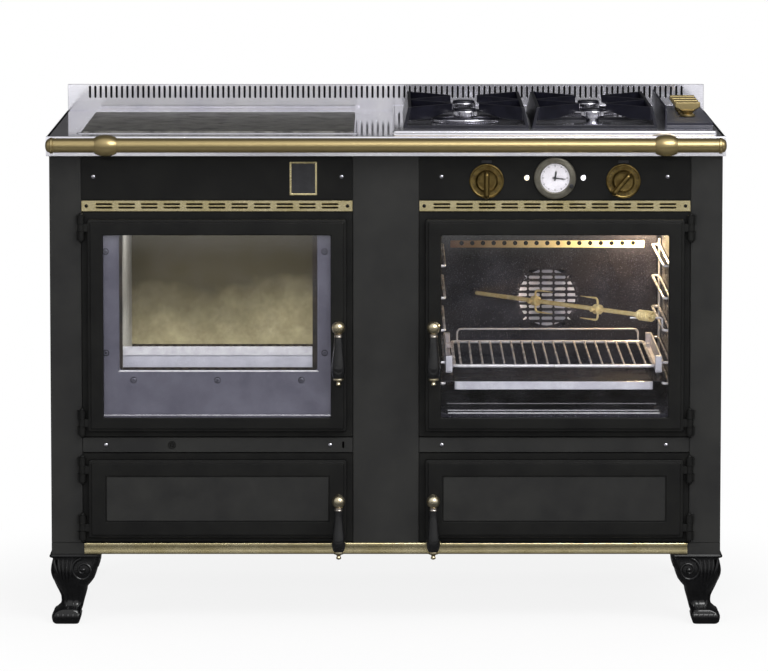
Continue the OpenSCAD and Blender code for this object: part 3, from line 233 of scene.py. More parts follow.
@dataclass(frozen=True)
class Speckled(Finish):
    """Fired enamel with small pale specks in it."""

    speck: str = "#8a8798"
    speck_mm: float = 4.0

    def colour(self, nodes: Nodes, place: Socket) -> Socket:
        """Adds the specks to the two tones."""
        ground = super().colour(nodes, place)
        cells = nodes.add("TexVoronoi", {"Vector": place, "Scale": 1000 / self.speck_mm})
        dots = nodes.remap(cells.outputs["Distance"], (0.1, 0.16), (1, 0))
        return nodes.blend(dots, ground, self.speck)


@dataclass(frozen=True)
class Swirled(Finish):
    """Cast iron that a grinding wheel has left in overlapping arcs."""

    arc_mm: float = 14.0
    middle: Point = (-0.30, 0.02, 0.88)

    def colour(self, nodes: Nodes, place: Socket) -> Socket:
        """Lays arcs, which are rings bent by noise, over the two tones."""
        ground = super().colour(nodes, place)
        moved = nodes.add("VectorMath", {0: place, 1: self.middle}, operation="SUBTRACT").outputs[0]
        settings = {
            "Vector": moved, "Scale": 50 / self.arc_mm, "Distortion": 9, "Detail": 4, "Detail Scale": 1.6
        }
        arcs = nodes.add("TexWave", settings, wave_type="RINGS", rings_direction="Z").outputs["Fac"]
        return nodes.blend(nodes.maths("MULTIPLY", arcs, 0.45), ground, self.second)


@dataclass(frozen=True)
class ShadedTowardsTop(Finish):
    """Pressed refractory board, pale low down and darker towards its top, where the shade of the chamber's top
    is painted in.
    """

    painted_shade_tone: str = "#4d4634"
    low_z: float = 0.53
    high_z: float = 0.64

    def colour(self, nodes: Nodes, place: Socket) -> Socket:
        """Darkens the board upwards with a cloudy edge, as painted shade."""
        ground = super().colour(nodes, place)
        lift = nodes.maths("MULTIPLY", nodes.noise(place, 9, 5), 0.12)
        high = nodes.maths("ADD", nodes.axis(place, "Z"), lift)
        return nodes.blend(nodes.remap(high, (self.low_z, self.high_z)), ground, self.painted_shade_tone)


@dataclass(frozen=True)
class Pane(Look):
    """Heat-proof float glass: clear, faintly tinted, with a mirror-like sheen and a film of dust."""

    tint: str
    dust: str = "#b9b6c4"
    haze: float = 0.05
    # How much gloss a pane seen square on has; the rest comes as the view grows steep
    square_on: float = 0.04

    def surface(self, nodes: Nodes, place: Socket) -> Socket:
        """Builds thin glass: lamps shine through it and its gloss follows the angle."""
        haze = nodes.remap(nodes.noise(place, 22, 5), (0.4, 0.8), (0, self.haze))
        clear = nodes.add("BsdfTransparent", {"Color": linear(self.tint)}).outputs[0]
        dusty = nodes.add("BsdfDiffuse", {"Color": linear(self.dust)}).outputs[0]
        gloss = nodes.add("BsdfGlossy", {"Color": WHITE, "Roughness": 0.02}).outputs[0]
        facing = nodes.add("LayerWeight", {"Blend": 0.5}).outputs["Facing"]
        steep = nodes.maths("POWER", facing, 5)
        sheen = nodes.maths("MULTIPLY_ADD", steep, 1 - self.square_on, self.square_on)
        return nodes.mix(sheen, nodes.mix(haze, clear, dusty), gloss)


@dataclass(frozen=True)
class Glow(Look):
    """A lit lamp behind a frosted cap, with a warmer tone in its mottling."""

    tone: str
    rim: str
    strength: float

    def surface(self, nodes: Nodes, place: Socket) -> Socket:
        """Builds the glow, mottled as frosted glass is."""
        frost = nodes.noise(place, 700)
        return self.lit(nodes, nodes.blend(frost, self.tone, self.rim), self.strength)

    def lit(self, nodes: Nodes, tone: Socket, power: Socket | float) -> Socket:
        """Returns a satin surface that shines in its own colour."""
        settings = {
            "Base Color": tone, "Emission Color": tone, "Emission Strength": power, "Roughness": 0.3
        }
        return nodes.add("BsdfPrincipled", settings).outputs[0]


@dataclass(frozen=True)
class LampLit(Glow):
    """Enamel right under the oven lamp, with the lamp's light painted on as a glow: white-gold at the lamp,
    brown far from it.
    """

    far_x: float = 0.125
    near_x: float = 0.47

    def surface(self, nodes: Nodes, place: Socket) -> Socket:
        """Builds the glow, fading along the strip with small uneven patches."""
        uneven = nodes.maths("MULTIPLY_ADD", nodes.noise(place, 60, 3), 0.12, -0.06)
        along = nodes.remap(nodes.axis(place, "X"), (self.far_x, self.near_x))
        near = nodes.maths("ADD", along, uneven, clamp=True)
        power = nodes.remap(nodes.maths("POWER", near, 2.2), (0, 1), (0.03, self.strength))
        return self.lit(nodes, nodes.blend(near, self.rim, self.tone), power)


class Finishes(Enum):
    """Every finish of the cooker."""

    # Matte stove enamel on sheet steel: near black, with the faintest orange peel
    PANEL = Finish(
        "stove_enamel_matte", "enamel_black", "#1d1d1d", "#242423", 90, (0.42, 0.56), 1.6, 0.10,
        specular=0.2
    )
    # The same enamel on sand castings: a slightly coarser skin
    CASTING = Finish(
        "stove_enamel_on_casting", "cast_black", "#0f0f0f", "#151514", 60, (0.38, 0.54), 1.9, 0.16,
        specular=0.14
    )
    # Glossier sheet enamel of the fascias, nearly black
    FASCIA = Finish(
        "stove_enamel_gloss", "enamel_black", "#0e0e0e", "#141413", 80, (0.3, 0.42), 1.6, 0.08,
        specular=0.14
    )
    # Field of the lower doors, rubbed to a paler satin
    FIELD = Finish(
        "stove_enamel_rubbed", "cast_black", "#1c1c1c", "#232322", 50, (0.4, 0.54), 1.7, 0.14, specular=0.2
    )
    # Glossy vitreous enamel pooled over a cast relief: wet highlights on black
    LEG = Finish(
        "vitreous_enamel_gloss", "cast_black", "#060607", "#0b0b0c", 30, (0.12, 0.2), 2.6, 0.12, coat=0.45,
        specular=0.3
    )
    # Lacquered brass that has gone brown in patches
    AGED_BRASS = Finish(
        "aged_brass", "aged_brass", "#eee1bb", "#cbbb90", 24, (0.16, 0.28), 0.9, 0.10, metallic=1,
        draw=(0.25, 1, 1)
    )
    # Handle brass, polished by hands: warmer and brighter than the rail
    BALL_BRASS = Finish(
        "polished_brass", "aged_brass", "#e8dec2", "#c6b794", 18, (0.2, 0.34), 0.8, 0.08, metallic=1
    )
    # Pale brushed brass strip
    PALE_BRASS = Finish(
        "brushed_pale_brass", "pale_brass", "#fff0c2", "#e8d8a4", 35, (0.18, 0.3), 0.7, 0.12, metallic=1,
        draw=(0.08, 1, 1)
    )
    # Bronze-plated knobs: dark and brown in the hollows
    BRONZE = Finish("bronze_plate", "bronze", "#94804f", "#65532f", 12, (0.28, 0.42), 0.6, 0.10, metallic=1)
    # Stainless sheet polished almost to a mirror, with faint wipe marks
    STAINLESS = Finish(
        "stainless_polished", "stainless", "#f4f3f8", "#e6e5ee", 80, (0.05, 0.1), 1.1, 0.03, metallic=0.82,
        draw=(0.1, 1, 1)
    )
    # Bright chrome of screws, lamp rims and burner heads
    CHROME = Finish(
        "chrome_plate", "screw_chrome", "#dedde4", "#c4c3cd", 20, (0.12, 0.24), 0.8, 0.05, metallic=1
    )
    # Oven wire: satin chrome that catches the room's light all round; on the strip along the foot of the fire
    # frame's opening it is a painted highlight
    WIRE = Finish(
        "satin_chrome_and_painted_highlight", "screw_chrome", "#f1edf2", "#d8d3dc", 15, (0.2, 0.3), 0.7, 0.06, metallic=0.4
    )
    # Spit steel that the heat has turned straw-gold
    SPIT = Finish(
        "heat_tinted_steel", "screw_chrome", "#f6e2b0", "#dcbf84", 14, (0.2, 0.32), 0.7, 0.08, metallic=0.25
    )
    # Black zinc screws of the vent strips
    ZINC = Finish(
        "black_zinc", "screw_chrome", "#12110f", "#1b1915", 4, (0.22, 0.36), 0.6, 0.08, metallic=0.8
    )
    # Runner blocks and fan wheel: pale satin steel; on the drip tray's front it is a painted highlight
    PALE_STEEL = Finish(
        "pale_satin_steel_and_painted_highlight", "grey_steel", "#dcd9e4", "#c6c2d0", 30, (0.3, 0.42), 0.7, 0.08, metallic=0.3
    )
    # Ground cast iron of the hotplate
    HOTPLATE = Swirled(
        "ground_cast_iron", "hotplate_iron", "#2a2a2b", "#807e79", 22, (0.3, 0.5), 1.2, 0.45, metallic=0.5
    )
    # Satin enamel of the pan supports: blue-black with soft bright edges
    SUPPORT = Finish(
        "satin_enamel_blue_black", "matt_enamel", "#0e0e15", "#171720", 30, (0.28, 0.42), 1.3, 0.14,
        coat=0.15, specular=0.35
    )
    # Ribbed control strip: the same enamel, greyer
    STRIP = Finish(
        "satin_enamel_grey", "matt_enamel", "#1d1d27", "#272733", 30, (0.3, 0.42), 1.3, 0.12, coat=0.1
    )
    # Bare cast iron of grate, fire box and flue: rusty grey, rough
    RAW_IRON = Finish(
        "bare_cast_iron", "raw_iron", "#2f2c2a", "#453b34", 30, (0.55, 0.8), 2.2, 0.5, metallic=0.2
    )
    # Rolled grey sheet: motor, switches, frame of the fire door
    GREY_STEEL = Finish(
        "rolled_grey_steel", "grey_steel", "#6c6977", "#5b5866", 60, (0.34, 0.5), 0.8, 0.08, metallic=0.35
    )
    # Oven enamel: blue-black glass coat with fine pale specks
    OVEN = Speckled(
        "oven_enamel_speckled", "oven_enamel", "#1f1d26", "#292730", 40, (0.2, 0.34), 2, 0.08, coat=0.2
    )
    # Pressed vermiculite lining, darker above with painted shade
    LINING = ShadedTowardsTop(
        "pressed_vermiculite", "refractory", "#b4a986", "#9a8f70", 18, (0.7, 0.9), 2.4, 0.4, painted_shade_tone="#4a4435"
    )
    # The side boards stay greyer, paler low down and darker above with painted shade
    SIDE_LINING = ShadedTowardsTop(
        "pressed_vermiculite_grey", "refractory", "#e6e2da", "#d0cbc2", 18, (0.6, 0.8), 2.4, 0.4,
        painted_shade_tone="#8f8b84"
    )
    # Moulded black grip with a soft gloss
    GRIP = Finish(
        "phenolic_black", "enamel_black", "#0c0c0d", "#131314", 25, (0.14, 0.24), 2, 0.05, coat=0.4
    )
    # Nickel collar between ball and grip
    NICKEL = Finish(
        "nickel_plate", "screw_chrome", "#d8cfc6", "#b5aca2", 8, (0.16, 0.28), 0.6, 0.05, metallic=1
    )
    # Printed aluminium clock face
    DIAL = Finish("printed_dial_pale", "stainless", "#e6e0e6", "#d8d1d8", 14, (0.4, 0.5), 0.6, 0.04)
    # Black print and hands
    INK = Finish("matt_black_print", "enamel_black", "#141417", "#1f1f22", 10, (0.4, 0.55), 0.6, 0.05)
    # Flat black that stands for the shade behind slots and holes, round the fire frame's screws and inside the
    # lower liners: painted shade
    SHADE = Finish(
        "painted_shade_black", "enamel_black", "#050505", "#0a0a0a", 40, (0.6, 0.8), 1.4, 0.1, specular=0.1
    )
    # Dark twisted glass-fibre seal
    ROPE = Finish("glass_fibre_rope", "raw_iron", "#2d2b2a", "#45423e", 5, (0.8, 0.95), 1.4, 0.8)
    # Grey-bronze clock case, satin
    GREY_BRONZE = Finish(
        "grey_bronze_case", "grey_steel", "#77746a", "#615e54", 16, (0.26, 0.38), 0.6, 0.06, metallic=0.7
    )
    # Lilac-grey plate of the log guard
    GUARD = Finish(
        "log_guard_steel", "grey_steel", "#cfccd8", "#b9b6c3", 40, (0.25, 0.4), 0.8, 0.1, metallic=0.25
    )
    # Clear door glass
    GLASS = Pane("door_glass_clear", "door_glass", "#f9fafa", haze=0.012)
    # Clock glass
    CLOCK_GLASS = Pane("clock_glass_clear", "door_glass", "#fbfcfc", haze=0.01)
    # Indicator lamps, lit
    LAMP_WARM = Glow("indicator_lamp_warm", "door_glass", "#fff6d8", "#f3dfa4", 1.3)
    LAMP_WHITE = Glow("indicator_lamp_white", "door_glass", "#ffffff", "#f4f1ea", 1.2)
    # The oven lamp's light on the enamel round the cover's holes, painted on as a glow
    OVEN_GLOW = LampLit("painted_lamplight_on_enamel", "oven_enamel", "#fff0b8", "#7a4f16", 1.5)


# ---- shapes -------------------------------------------------------------------------------


def circle(centre: Flat, radius: float, steps: int = 32) -> list[Flat]:
    """Returns the points of a circle, anticlockwise."""
    angles = [math.tau * i / steps for i in range(steps)]
    return [(centre[0] + radius * math.cos(a), centre[1] + radius * math.sin(a)) for a in angles]


def rounded(rect: Rect, radius: float, steps: int = 4) -> list[Flat]:
    """Returns a rectangle with round corners, anticlockwise.

    Args:
        rect: Left, right, low and high.
        radius: The corners' radius.
        steps: How many steps each corner has.
    """
    x0, x1, z0, z1 = rect
    r = max(0.01, min(radius, (x1 - x0) / 2 - 0.01, (z1 - z0) / 2 - 0.01))
    corners = ((x1 - r, z0 + r, -90), (x1 - r, z1 - r, 0), (x0 + r, z1 - r, 90), (x0 + r, z0 + r, 180))
    points = []
    for cx, cz, start in corners:
        for i in range(steps + 1):
            a = math.radians(start + 90 * i / steps)
            points.append((cx + r * math.cos(a), cz + r * math.sin(a)))
    return points


def inset(rect: Rect, by: float) -> Rect:
    """Returns the rectangle drawn in on all sides by an amount."""
    return (rect[0] + by, rect[1] - by, rect[2] + by, rect[3] - by)


def around(centre: Flat, half: Flat) -> Rect:
    """Returns the rectangle round a centre, from its half width and half height."""
    return (centre[0] - half[0], centre[0] + half[0], centre[1] - half[1], centre[1] + half[1])


def shrunk(loop: list[Flat], by: float) -> list[Flat]:
    """Moves each point of an anticlockwise loop inwards.

    Args:
        loop: The points.
        by: How far; a hole grows with a negative value.

    Returns:
        The moved points.
    """
    out = []
    count = len(loop)
    for i, (x, y) in enumerate(loop):
        before, after = Vector(loop[i - 1]), Vector(loop[(i + 1) % count])
        one, two = (Vector((x, y)) - before).normalized(), (after - Vector((x, y))).normalized()
        normal = Vector((-one.y - two.y, one.x + two.x))
        if normal.length < 1e-6:
            normal = Vector((-one.y, one.x))
        normal.normalize()
        reach = by / max(0.4, normal.dot(Vector((-one.y, one.x))))
        out.append((x + normal.x * reach, y + normal.y * reach))
    return out


def bent(points: list[Point], radius: float, steps: int = 5) -> list[Point]:
    """Rounds the corners of a path.

    Args:
        points: The path's corners.
        radius: How far from a corner the bend starts.
        steps: Points in each bend.

    Returns:
        The smoother path.
    """
    path = [Vector(points[0])]
    for before, here, after in zip(points, points[1:], points[2:]):
        corner = Vector(here)
        back, on = Vector(before) - corner, Vector(after) - corner
        cut = min(radius, back.length / 2, on.length / 2)
        a, b = corner + back.normalized() * cut, corner + on.normalized() * cut
        for i in range(steps + 1):
            s = i / steps
            path.append(a * (1 - s) ** 2 + corner * 2 * s * (1 - s) + b * s * s)
    path.append(Vector(points[-1]))
    return [tuple(p) for p in path]


class Facing(Enum):
    """Which way a flat outline's third direction runs."""

    FRONT = "depth"
    TOP = "height"
    SIDE = "width"

    def place(self, u: float, v: float, w: float) -> Point:
        """Puts an outline's point into the cooker.

        Args:
            u: Right for FRONT and TOP, back for SIDE.
            v: Up for FRONT and SIDE, back for TOP.
            w: The third direction.

        Returns:
            The place in millimetres.
        """
        if self is Facing.FRONT:
            return (u, w, v)
        return (u, v, w) if self is Facing.TOP else (w, u, v)

    def ring(self, loop: list[Flat], w: float) -> list[Point]:
        """Puts a whole loop into the cooker at one place along the third direction."""
        return [self.place(u, v, w) for u, v in loop]


def clockwise(centre: Point, angle: float, outline: list[Flat]) -> list[Point]:
    """Lays an outline on the front, turned clockwise from twelve.

    Args:
        centre: What it turns round.
        angle: How far it turns, in degrees.
        outline: Pairs of how far across and how far along each point lies.

    Returns:
        The points in millimetres.
    """
    a = math.radians(angle)
    along, across = Vector((math.sin(a), 0, math.cos(a))), Vector((math.cos(a), 0, -math.sin(a)))
    return [tuple(Vector(centre) + across * u + along * v) for u, v in outline]


class Form:
    """Gathers closed bodies, in millimetres, into one mesh."""

    def __init__(self) -> None:
        """Starts with nothing."""
        self.mesh = bmesh.new()

    def take(self, body: bmesh.types.BMesh, soft: float = 0.0, steps: int = 2, finish: int = 0) -> "Form":
        """Adds a body, with its sharp edges rounded.

        Args:
            body: The body, which is used up.
            soft: The width of the rounding.
            steps: How many steps the rounding has.
            finish: Which of the piece's finishes it wears.

        Returns:
            This form.
        """
        bmesh.ops.recalc_face_normals(body, faces=body.faces)
        if soft > 0:
            sharp = [
                e for e in body.edges if len(e.link_faces) == 2 and e.calc_face_angle() > math.radians(24)
            ]
            bmesh.ops.bevel(
                body, geom=sharp, offset=soft, segments=steps, profile=0.5, affect="EDGES",
                clamp_overlap=True
            )
        for face in body.faces:
            face.material_index = finish
        kept = bpy.data.meshes.new("body")
        body.to_mesh(kept)
        body.free()
        self.mesh.from_mesh(kept)
        bpy.data.meshes.remove(kept)
        return self

    def loft(self, rings: list[list[Point]], shut: bool = False, **rest: float) -> "Form":
        """Joins rings of points one after another.

        Args:
            rings: Closed rings, each with the same number of points.
            shut: Whether the last ring joins the first; otherwise both ends are capped.
            rest: What take() says.

        Returns:
            This form.
        """
        body = bmesh.new()
        rows = [[body.verts.new(p) for p in ring] for ring in rings]
        count = len(rows[0])
        for i in range(len(rows) if shut else len(rows) - 1):
            one, two = rows[i], rows[(i + 1) % len(rows)]
            for j in range(count):
                k = (j + 1) % count
                body.faces.new((one[j], one[k], two[k], two[j]))
        if not shut:
            body.faces.new(rows[0])
            body.faces.new(rows[-1][::-1])
        return self.take(body, **rest)

    def block(self, low: Point, high: Point, soft: float = 0.8, finish: int = 0) -> "Form":
        """Adds a block with rounded edges between two corners, given in any order."""
        (x0, x1), (y0, y1), (z0, z1) = (sorted(pair) for pair in zip(low, high))
        foot = [(x0, y0, z0), (x1, y0, z0), (x1, y1, z0), (x0, y1, z0)]
        return self.loft([foot, [(x, y, z1) for x, y, _ in foot]], soft=soft, finish=finish)

    def prism(self, outline: list[Flat], facing: Facing, low: float, high: float, **rest: float) -> "Form":
        """Adds an outline drawn out from low to high along its third direction."""
        return self.loft([facing.ring(outline, w) for w in (low, high)], **rest)

    def plate(
        self, centre: Point, angle: float, outline: list[Flat], thick: float, **rest: float
    ) -> "Form":
        """Adds an outline laid by clockwise(), as thick as given towards the front."""
        x, y, z = centre
        return self.loft([clockwise((x, w, z), angle, outline) for w in (y, y - thick)], **rest)

    def terrace(
        self, rect: Rect, profile: list[Flat], corner: float = 0.0, facing: Facing = Facing.FRONT,
        shut: bool = False, finish: int = 0
    ) -> "Form":
        """Runs a profile round a rectangle, as a moulding or a raised field.

        Args:
            rect: The outer rectangle.
            profile: Pairs of inset and depth, from the back's outer edge over the front.
            corner: The radius of the outer corners.
            facing: Which way the rectangle looks.
            shut: Whether the profile closes on itself round a hole; otherwise its ends are capped.
            finish: Which finish it wears.

        Returns:
            This form.
        """
        rings = [
            facing.ring(rounded(inset(rect, by), max(corner - by, 0.3)), depth) for by, depth in profile
        ]
        return self.loft(rings, shut=shut, finish=finish)

    def turned(
        self, profile: list[Flat], centre: Point, axis: Point = (0, -1, 0), steps: int = 40,
        shut: bool = False, finish: int = 0
    ) -> "Form":
        """Turns a profile round an axis.

        Args:
            profile: Pairs of radius and height along the axis.
            centre: Where height is nought.
            axis: The axis' direction, from the profile's foot to its head.
            steps: Steps round the axis.
            shut: Whether the profile closes on itself, as a ring's does.
            finish: Which finish it wears.

        Returns:
            This form.
        """
        along = Vector(axis).normalized()
        side = along.orthogonal().normalized()
        other = along.cross(side)
        rings = []
        for radius, height in profile:
            middle = Vector(centre) + along * height
            rings.append(
                [tuple(middle + side * u + other * v) for u, v in circle((0, 0), max(radius, 0.02), steps)]
            )
        return self.loft(rings, shut=shut, finish=finish)

    def tube(
        self, path: list[Point], radius: float | list[float], sides: int = 10, looped: bool = False,
        finish: int = 0
    ) -> "Form":
        """Adds a round wire along a path.

        Args:
            path: The points it follows.
            radius: One radius, or one for each point.
            sides: Faces round the wire.
            looped: Whether the path closes on itself.
            finish: Which finish it wears.

        Returns:
            This form.
        """
        points = [Vector(p) for p in path]
        radii = radius if isinstance(radius, list) else [radius] * len(points)
        count = len(points)
        ways = []
        for i in range(count):
            before = points[i - 1] if looped or i else points[i]
            after = points[(i + 1) % count] if looped or i < count - 1 else points[i]
            ways.append((after - before).normalized())
        side = ways[0].orthogonal().normalized()
        rings = []
        for point, way, r in zip(points, ways, radii):
            side = (side - way * side.dot(way)).normalized()
            other = way.cross(side)
            rings.append([tuple(point + side * u + other * v) for u, v in circle((0, 0), r, sides)])
        return self.loft(rings, shut=looped, finish=finish)

    def sheet(
        self, outline: list[Flat], holes: list[list[Flat]], facing: Facing, low: float, high: float,
        soft: float = 0.5, finish: int = 0
    ) -> "Form":
        """Adds a plate with holes; its rims are chamfered on both faces.

        Args:
            outline: The outer loop, anticlockwise.
            holes: The inner loops, anticlockwise.
            facing: Which way the plate looks.
            low: One face's place along the third direction.
            high: The other's.
            soft: The chamfer's width.
            finish: Which finish it wears.

        Returns:
            This form.
        """
        body = bmesh.new()
        loops = [(outline, soft), *((hole, -soft) for hole in holes)]
        narrow = [shrunk(loop, by) for loop, by in loops]
        full = [loop for loop, _ in loops]
        rows = []
        for w, drawn in ((low, narrow), (low + soft, full), (high - soft, full), (high, narrow)):
            rows.append([[body.verts.new(p) for p in facing.ring(loop, w)] for loop in drawn])
        for one, two in zip(rows, rows[1:]):
            for a, b in zip(one, two):
                for j in range(len(a)):
                    k = (j + 1) % len(a)
                    body.faces.new((a[j], a[k], b[k], b[j]))
        triangles = tessellate_polygon([[Vector((u, v, 0)) for u, v in loop] for loop in narrow])
        for row in (rows[0], rows[-1]):
            verts = [v for loop in row for v in loop]
            for tri in triangles:
                if len(set(tri)) == 3:
                    body.faces.new([verts[i] for i in tri])
        return self.take(body, finish=finish)

    def on(self, side: int) -> "Form":
        """Leaves everything so far on the right, or mirrors it to the left for a side below nought."""
        if side < 0:
            bmesh.ops.scale(self.mesh, vec=(-1, 1, 1), verts=self.mesh.verts)
            bmesh.ops.reverse_faces(self.mesh, faces=self.mesh.faces)
        return self

    def piece(
        self, name: str, *finishes: Finishes, body: str = "cabinet", replaces: str = "",
        crease: float = 38.0
    ) -> None:
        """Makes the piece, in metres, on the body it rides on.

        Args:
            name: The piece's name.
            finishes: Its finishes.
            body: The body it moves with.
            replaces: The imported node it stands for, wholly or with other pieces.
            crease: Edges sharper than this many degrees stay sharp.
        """
        for vert in self.mesh.verts:
            vert.co = at(tuple(vert.co))
        mesh = bpy.data.meshes.new(name)
        self.mesh.to_mesh(mesh)
        self.mesh.free()
        mesh.shade_smooth()
        mesh.set_sharp_from_angle(angle=math.radians(crease))
        piece = bpy.data.objects.new(name, mesh)
        bpy.context.scene.collection.objects.link(piece)
        for finish in finishes:
            mesh.materials.append(finish.value.material())
        even = piece.modifiers.new("even", "WEIGHTED_NORMAL")
        even.keep_sharp = True
        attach(piece, body)
        if replaces:
            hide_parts(replaces)
        log.info("%s rides on %s", name, body)


# ---- the cooker's common sizes -------------------------------------------------------------

# The middle of the right bay, and the depth of the enamelled panels' faces
BAY_MID = 301.25
PANEL_T = 12.0
# Where the handles hang on the right doors
HANDLE_X = 84.5
HANDLE_UPPER = 541.75
HANDLE_LOWER = 229.75
# The doors of the right bay, and the window of the upper one
UPPER = (70.5, 532, 351.5, 732)
LOWER = (70.5, 532, 159.5, 300)
WINDOW = (98.5, 504, 377, 704)
# The worktop's surface, the apron's foot and the cast iron plate let into it
WORKTOP_Z = 880.0
APRON_Z = 840.0
PLATE = (-545, -58.5, 70, 551)


@dataclass(frozen=True)
class Cabinet:
    """The columns, surrounds, strips and trim of the front."""

    half: float = 600.0
    bay_in: float = 59.0
    bay_out: float = 543.5
    face: float = 10.0
    wall: float = 4.0
    column: float = 40.0
    frame_thick: float = 8.0
    base_z: float = 128.0
    base_top: float = 148.0
    lower: Flat = (149.5, 310)
    strip: Flat = (311.5, 338.5)
    upper: Flat = (340, 743.5)
    vent: Flat = (745, 764.5)
    cam: float = 14.0

    def columns(self) -> None:
        """Builds the two corner columns and the centre column, with eased edges."""
        near, back, wall = self.face, self.face + self.column, self.wall
        for name, x0, x1 in (
            ("left", -self.half, -self.bay_out), ("centre", -self.bay_in, self.bay_in),
            ("right", self.bay_out, self.half)
        ):
            outline = [
                (x0, near), (x1, near), (x1, back), (x1 - wall, back), (x1 - wall, near + wall),
                (x0 + wall, near + wall), (x0 + wall, back), (x0, back)
            ]
            form = Form().prism(outline, Facing.TOP, self.base_top, WORKTOP_Z - 3, soft=1.6, steps=3)
            form.piece(f"{name}_column", Finishes.PANEL, replaces="front_columns")

    def surrounds(self) -> None:
        """Builds the frames round the four door openings; the upper ones leave room for the latch cams."""
        openings = ((self.upper, 21, 80, True), (self.lower, 19.5, 74, False))
        for side, word in SIDES:
            form = Form()
            for (z0, z1), margin, edge, notched in openings:
                cut = rounded((edge, self.bay_out - 21, z0 + margin, z1 - margin), 3)
                if notched:
                    bite = [p for p in circle((HANDLE_X, HANDLE_UPPER), self.cam, 24) if p[0] < edge]
                    ends = [(edge, HANDLE_UPPER + way * (self.cam - 0.7)) for way in (1, -1)]
                    cut = cut[:-5] + [ends[0], *bite, ends[1]] + cut[-5:]
                outer = rounded((self.bay_in, self.bay_out, z0, z1), 0.8)
                form.sheet(outer, [cut], Facing.FRONT, PANEL_T, PANEL_T + self.frame_thick, soft=0.8)
            form.on(side).piece(f"{word}_surrounds", Finishes.CASTING, replaces="surrounds")

    def strips(self) -> None:
        """Builds the screwed strips between upper and lower doors; the left one holds the air slot."""
        rect = rounded((self.bay_in, self.bay_out, *self.strip), 0.8)
        air = [circle((383.25, 325), 3.3, 20), rounded((75, 78, 319, 331), 1.4)]
        for side, word in SIDES:
            holes = air if side < 0 else []
            form = Form().sheet(rect, holes, Facing.FRONT, PANEL_T, PANEL_T + self.frame_thick, soft=0.9)
            form.on(side).piece(f"{word}_mid_strip", Finishes.PANEL, replaces="mid_strips")

    def vents(self) -> None:
        """Builds the pierced brass strips over the upper doors, with a black sheet behind their slots as
        painted shade.
        """
        slot, pitch, count = (14.6, 1.6), 40.3, 11
        low, high = self.vent
        holes = []
        for i in range(count):
            for row in (-3.15, 3.15):
                centre = (BAY_MID + (i - (count - 1) / 2) * pitch, (low + high) / 2 + row)
                holes.append(rounded(around(centre, slot), 1.4, 3))
        rect = rounded((self.bay_in + 0.3, self.bay_out - 0.3, low, high), 0.6, 2)
        for side, word in SIDES:
            form = Form().sheet(rect, holes, Facing.FRONT, PANEL_T, PANEL_T + 3, soft=0.5)
            # A black sheet behind the slots stands for the shade inside them: painted shade
            form.block(
                (self.bay_in + 3, PANEL_T + 3.4, low + 2.5), (self.bay_out - 3, PANEL_T + 4, high - 2.5),
                soft=0.1, finish=1
            )
            form.on(side).piece(
                f"{word}_vent_strip", Finishes.PALE_BRASS, Finishes.SHADE, replaces="vent_strips"
            )

    def trim(self) -> None:
        """Builds the two lengths of brass moulding along the foot of the cabinet."""
        section = [(0, 0), (-1.6, 0), (-2.3, 0.7), (-2.5, 2), (-2.5, 6), (-2, 7)]
        outline = [(self.face + t, self.base_z + z) for t, z in section]
        outline += [(self.face + t, self.base_top - z) for t, z in section[::-1]]
        for name, x0, x1 in (("left", -541, -59.2), ("right", -58.8, 541)):
            form = Form().prism(outline, Facing.SIDE, x0, x1)
            form.piece(f"{name}_base_trim", Finishes.PALE_BRASS, replaces="base_trim")

    def build(self) -> None:
        """Builds every part of the cabinet's front."""
        self.columns()
        self.surrounds()
        self.strips()
        self.vents()
        self.trim()


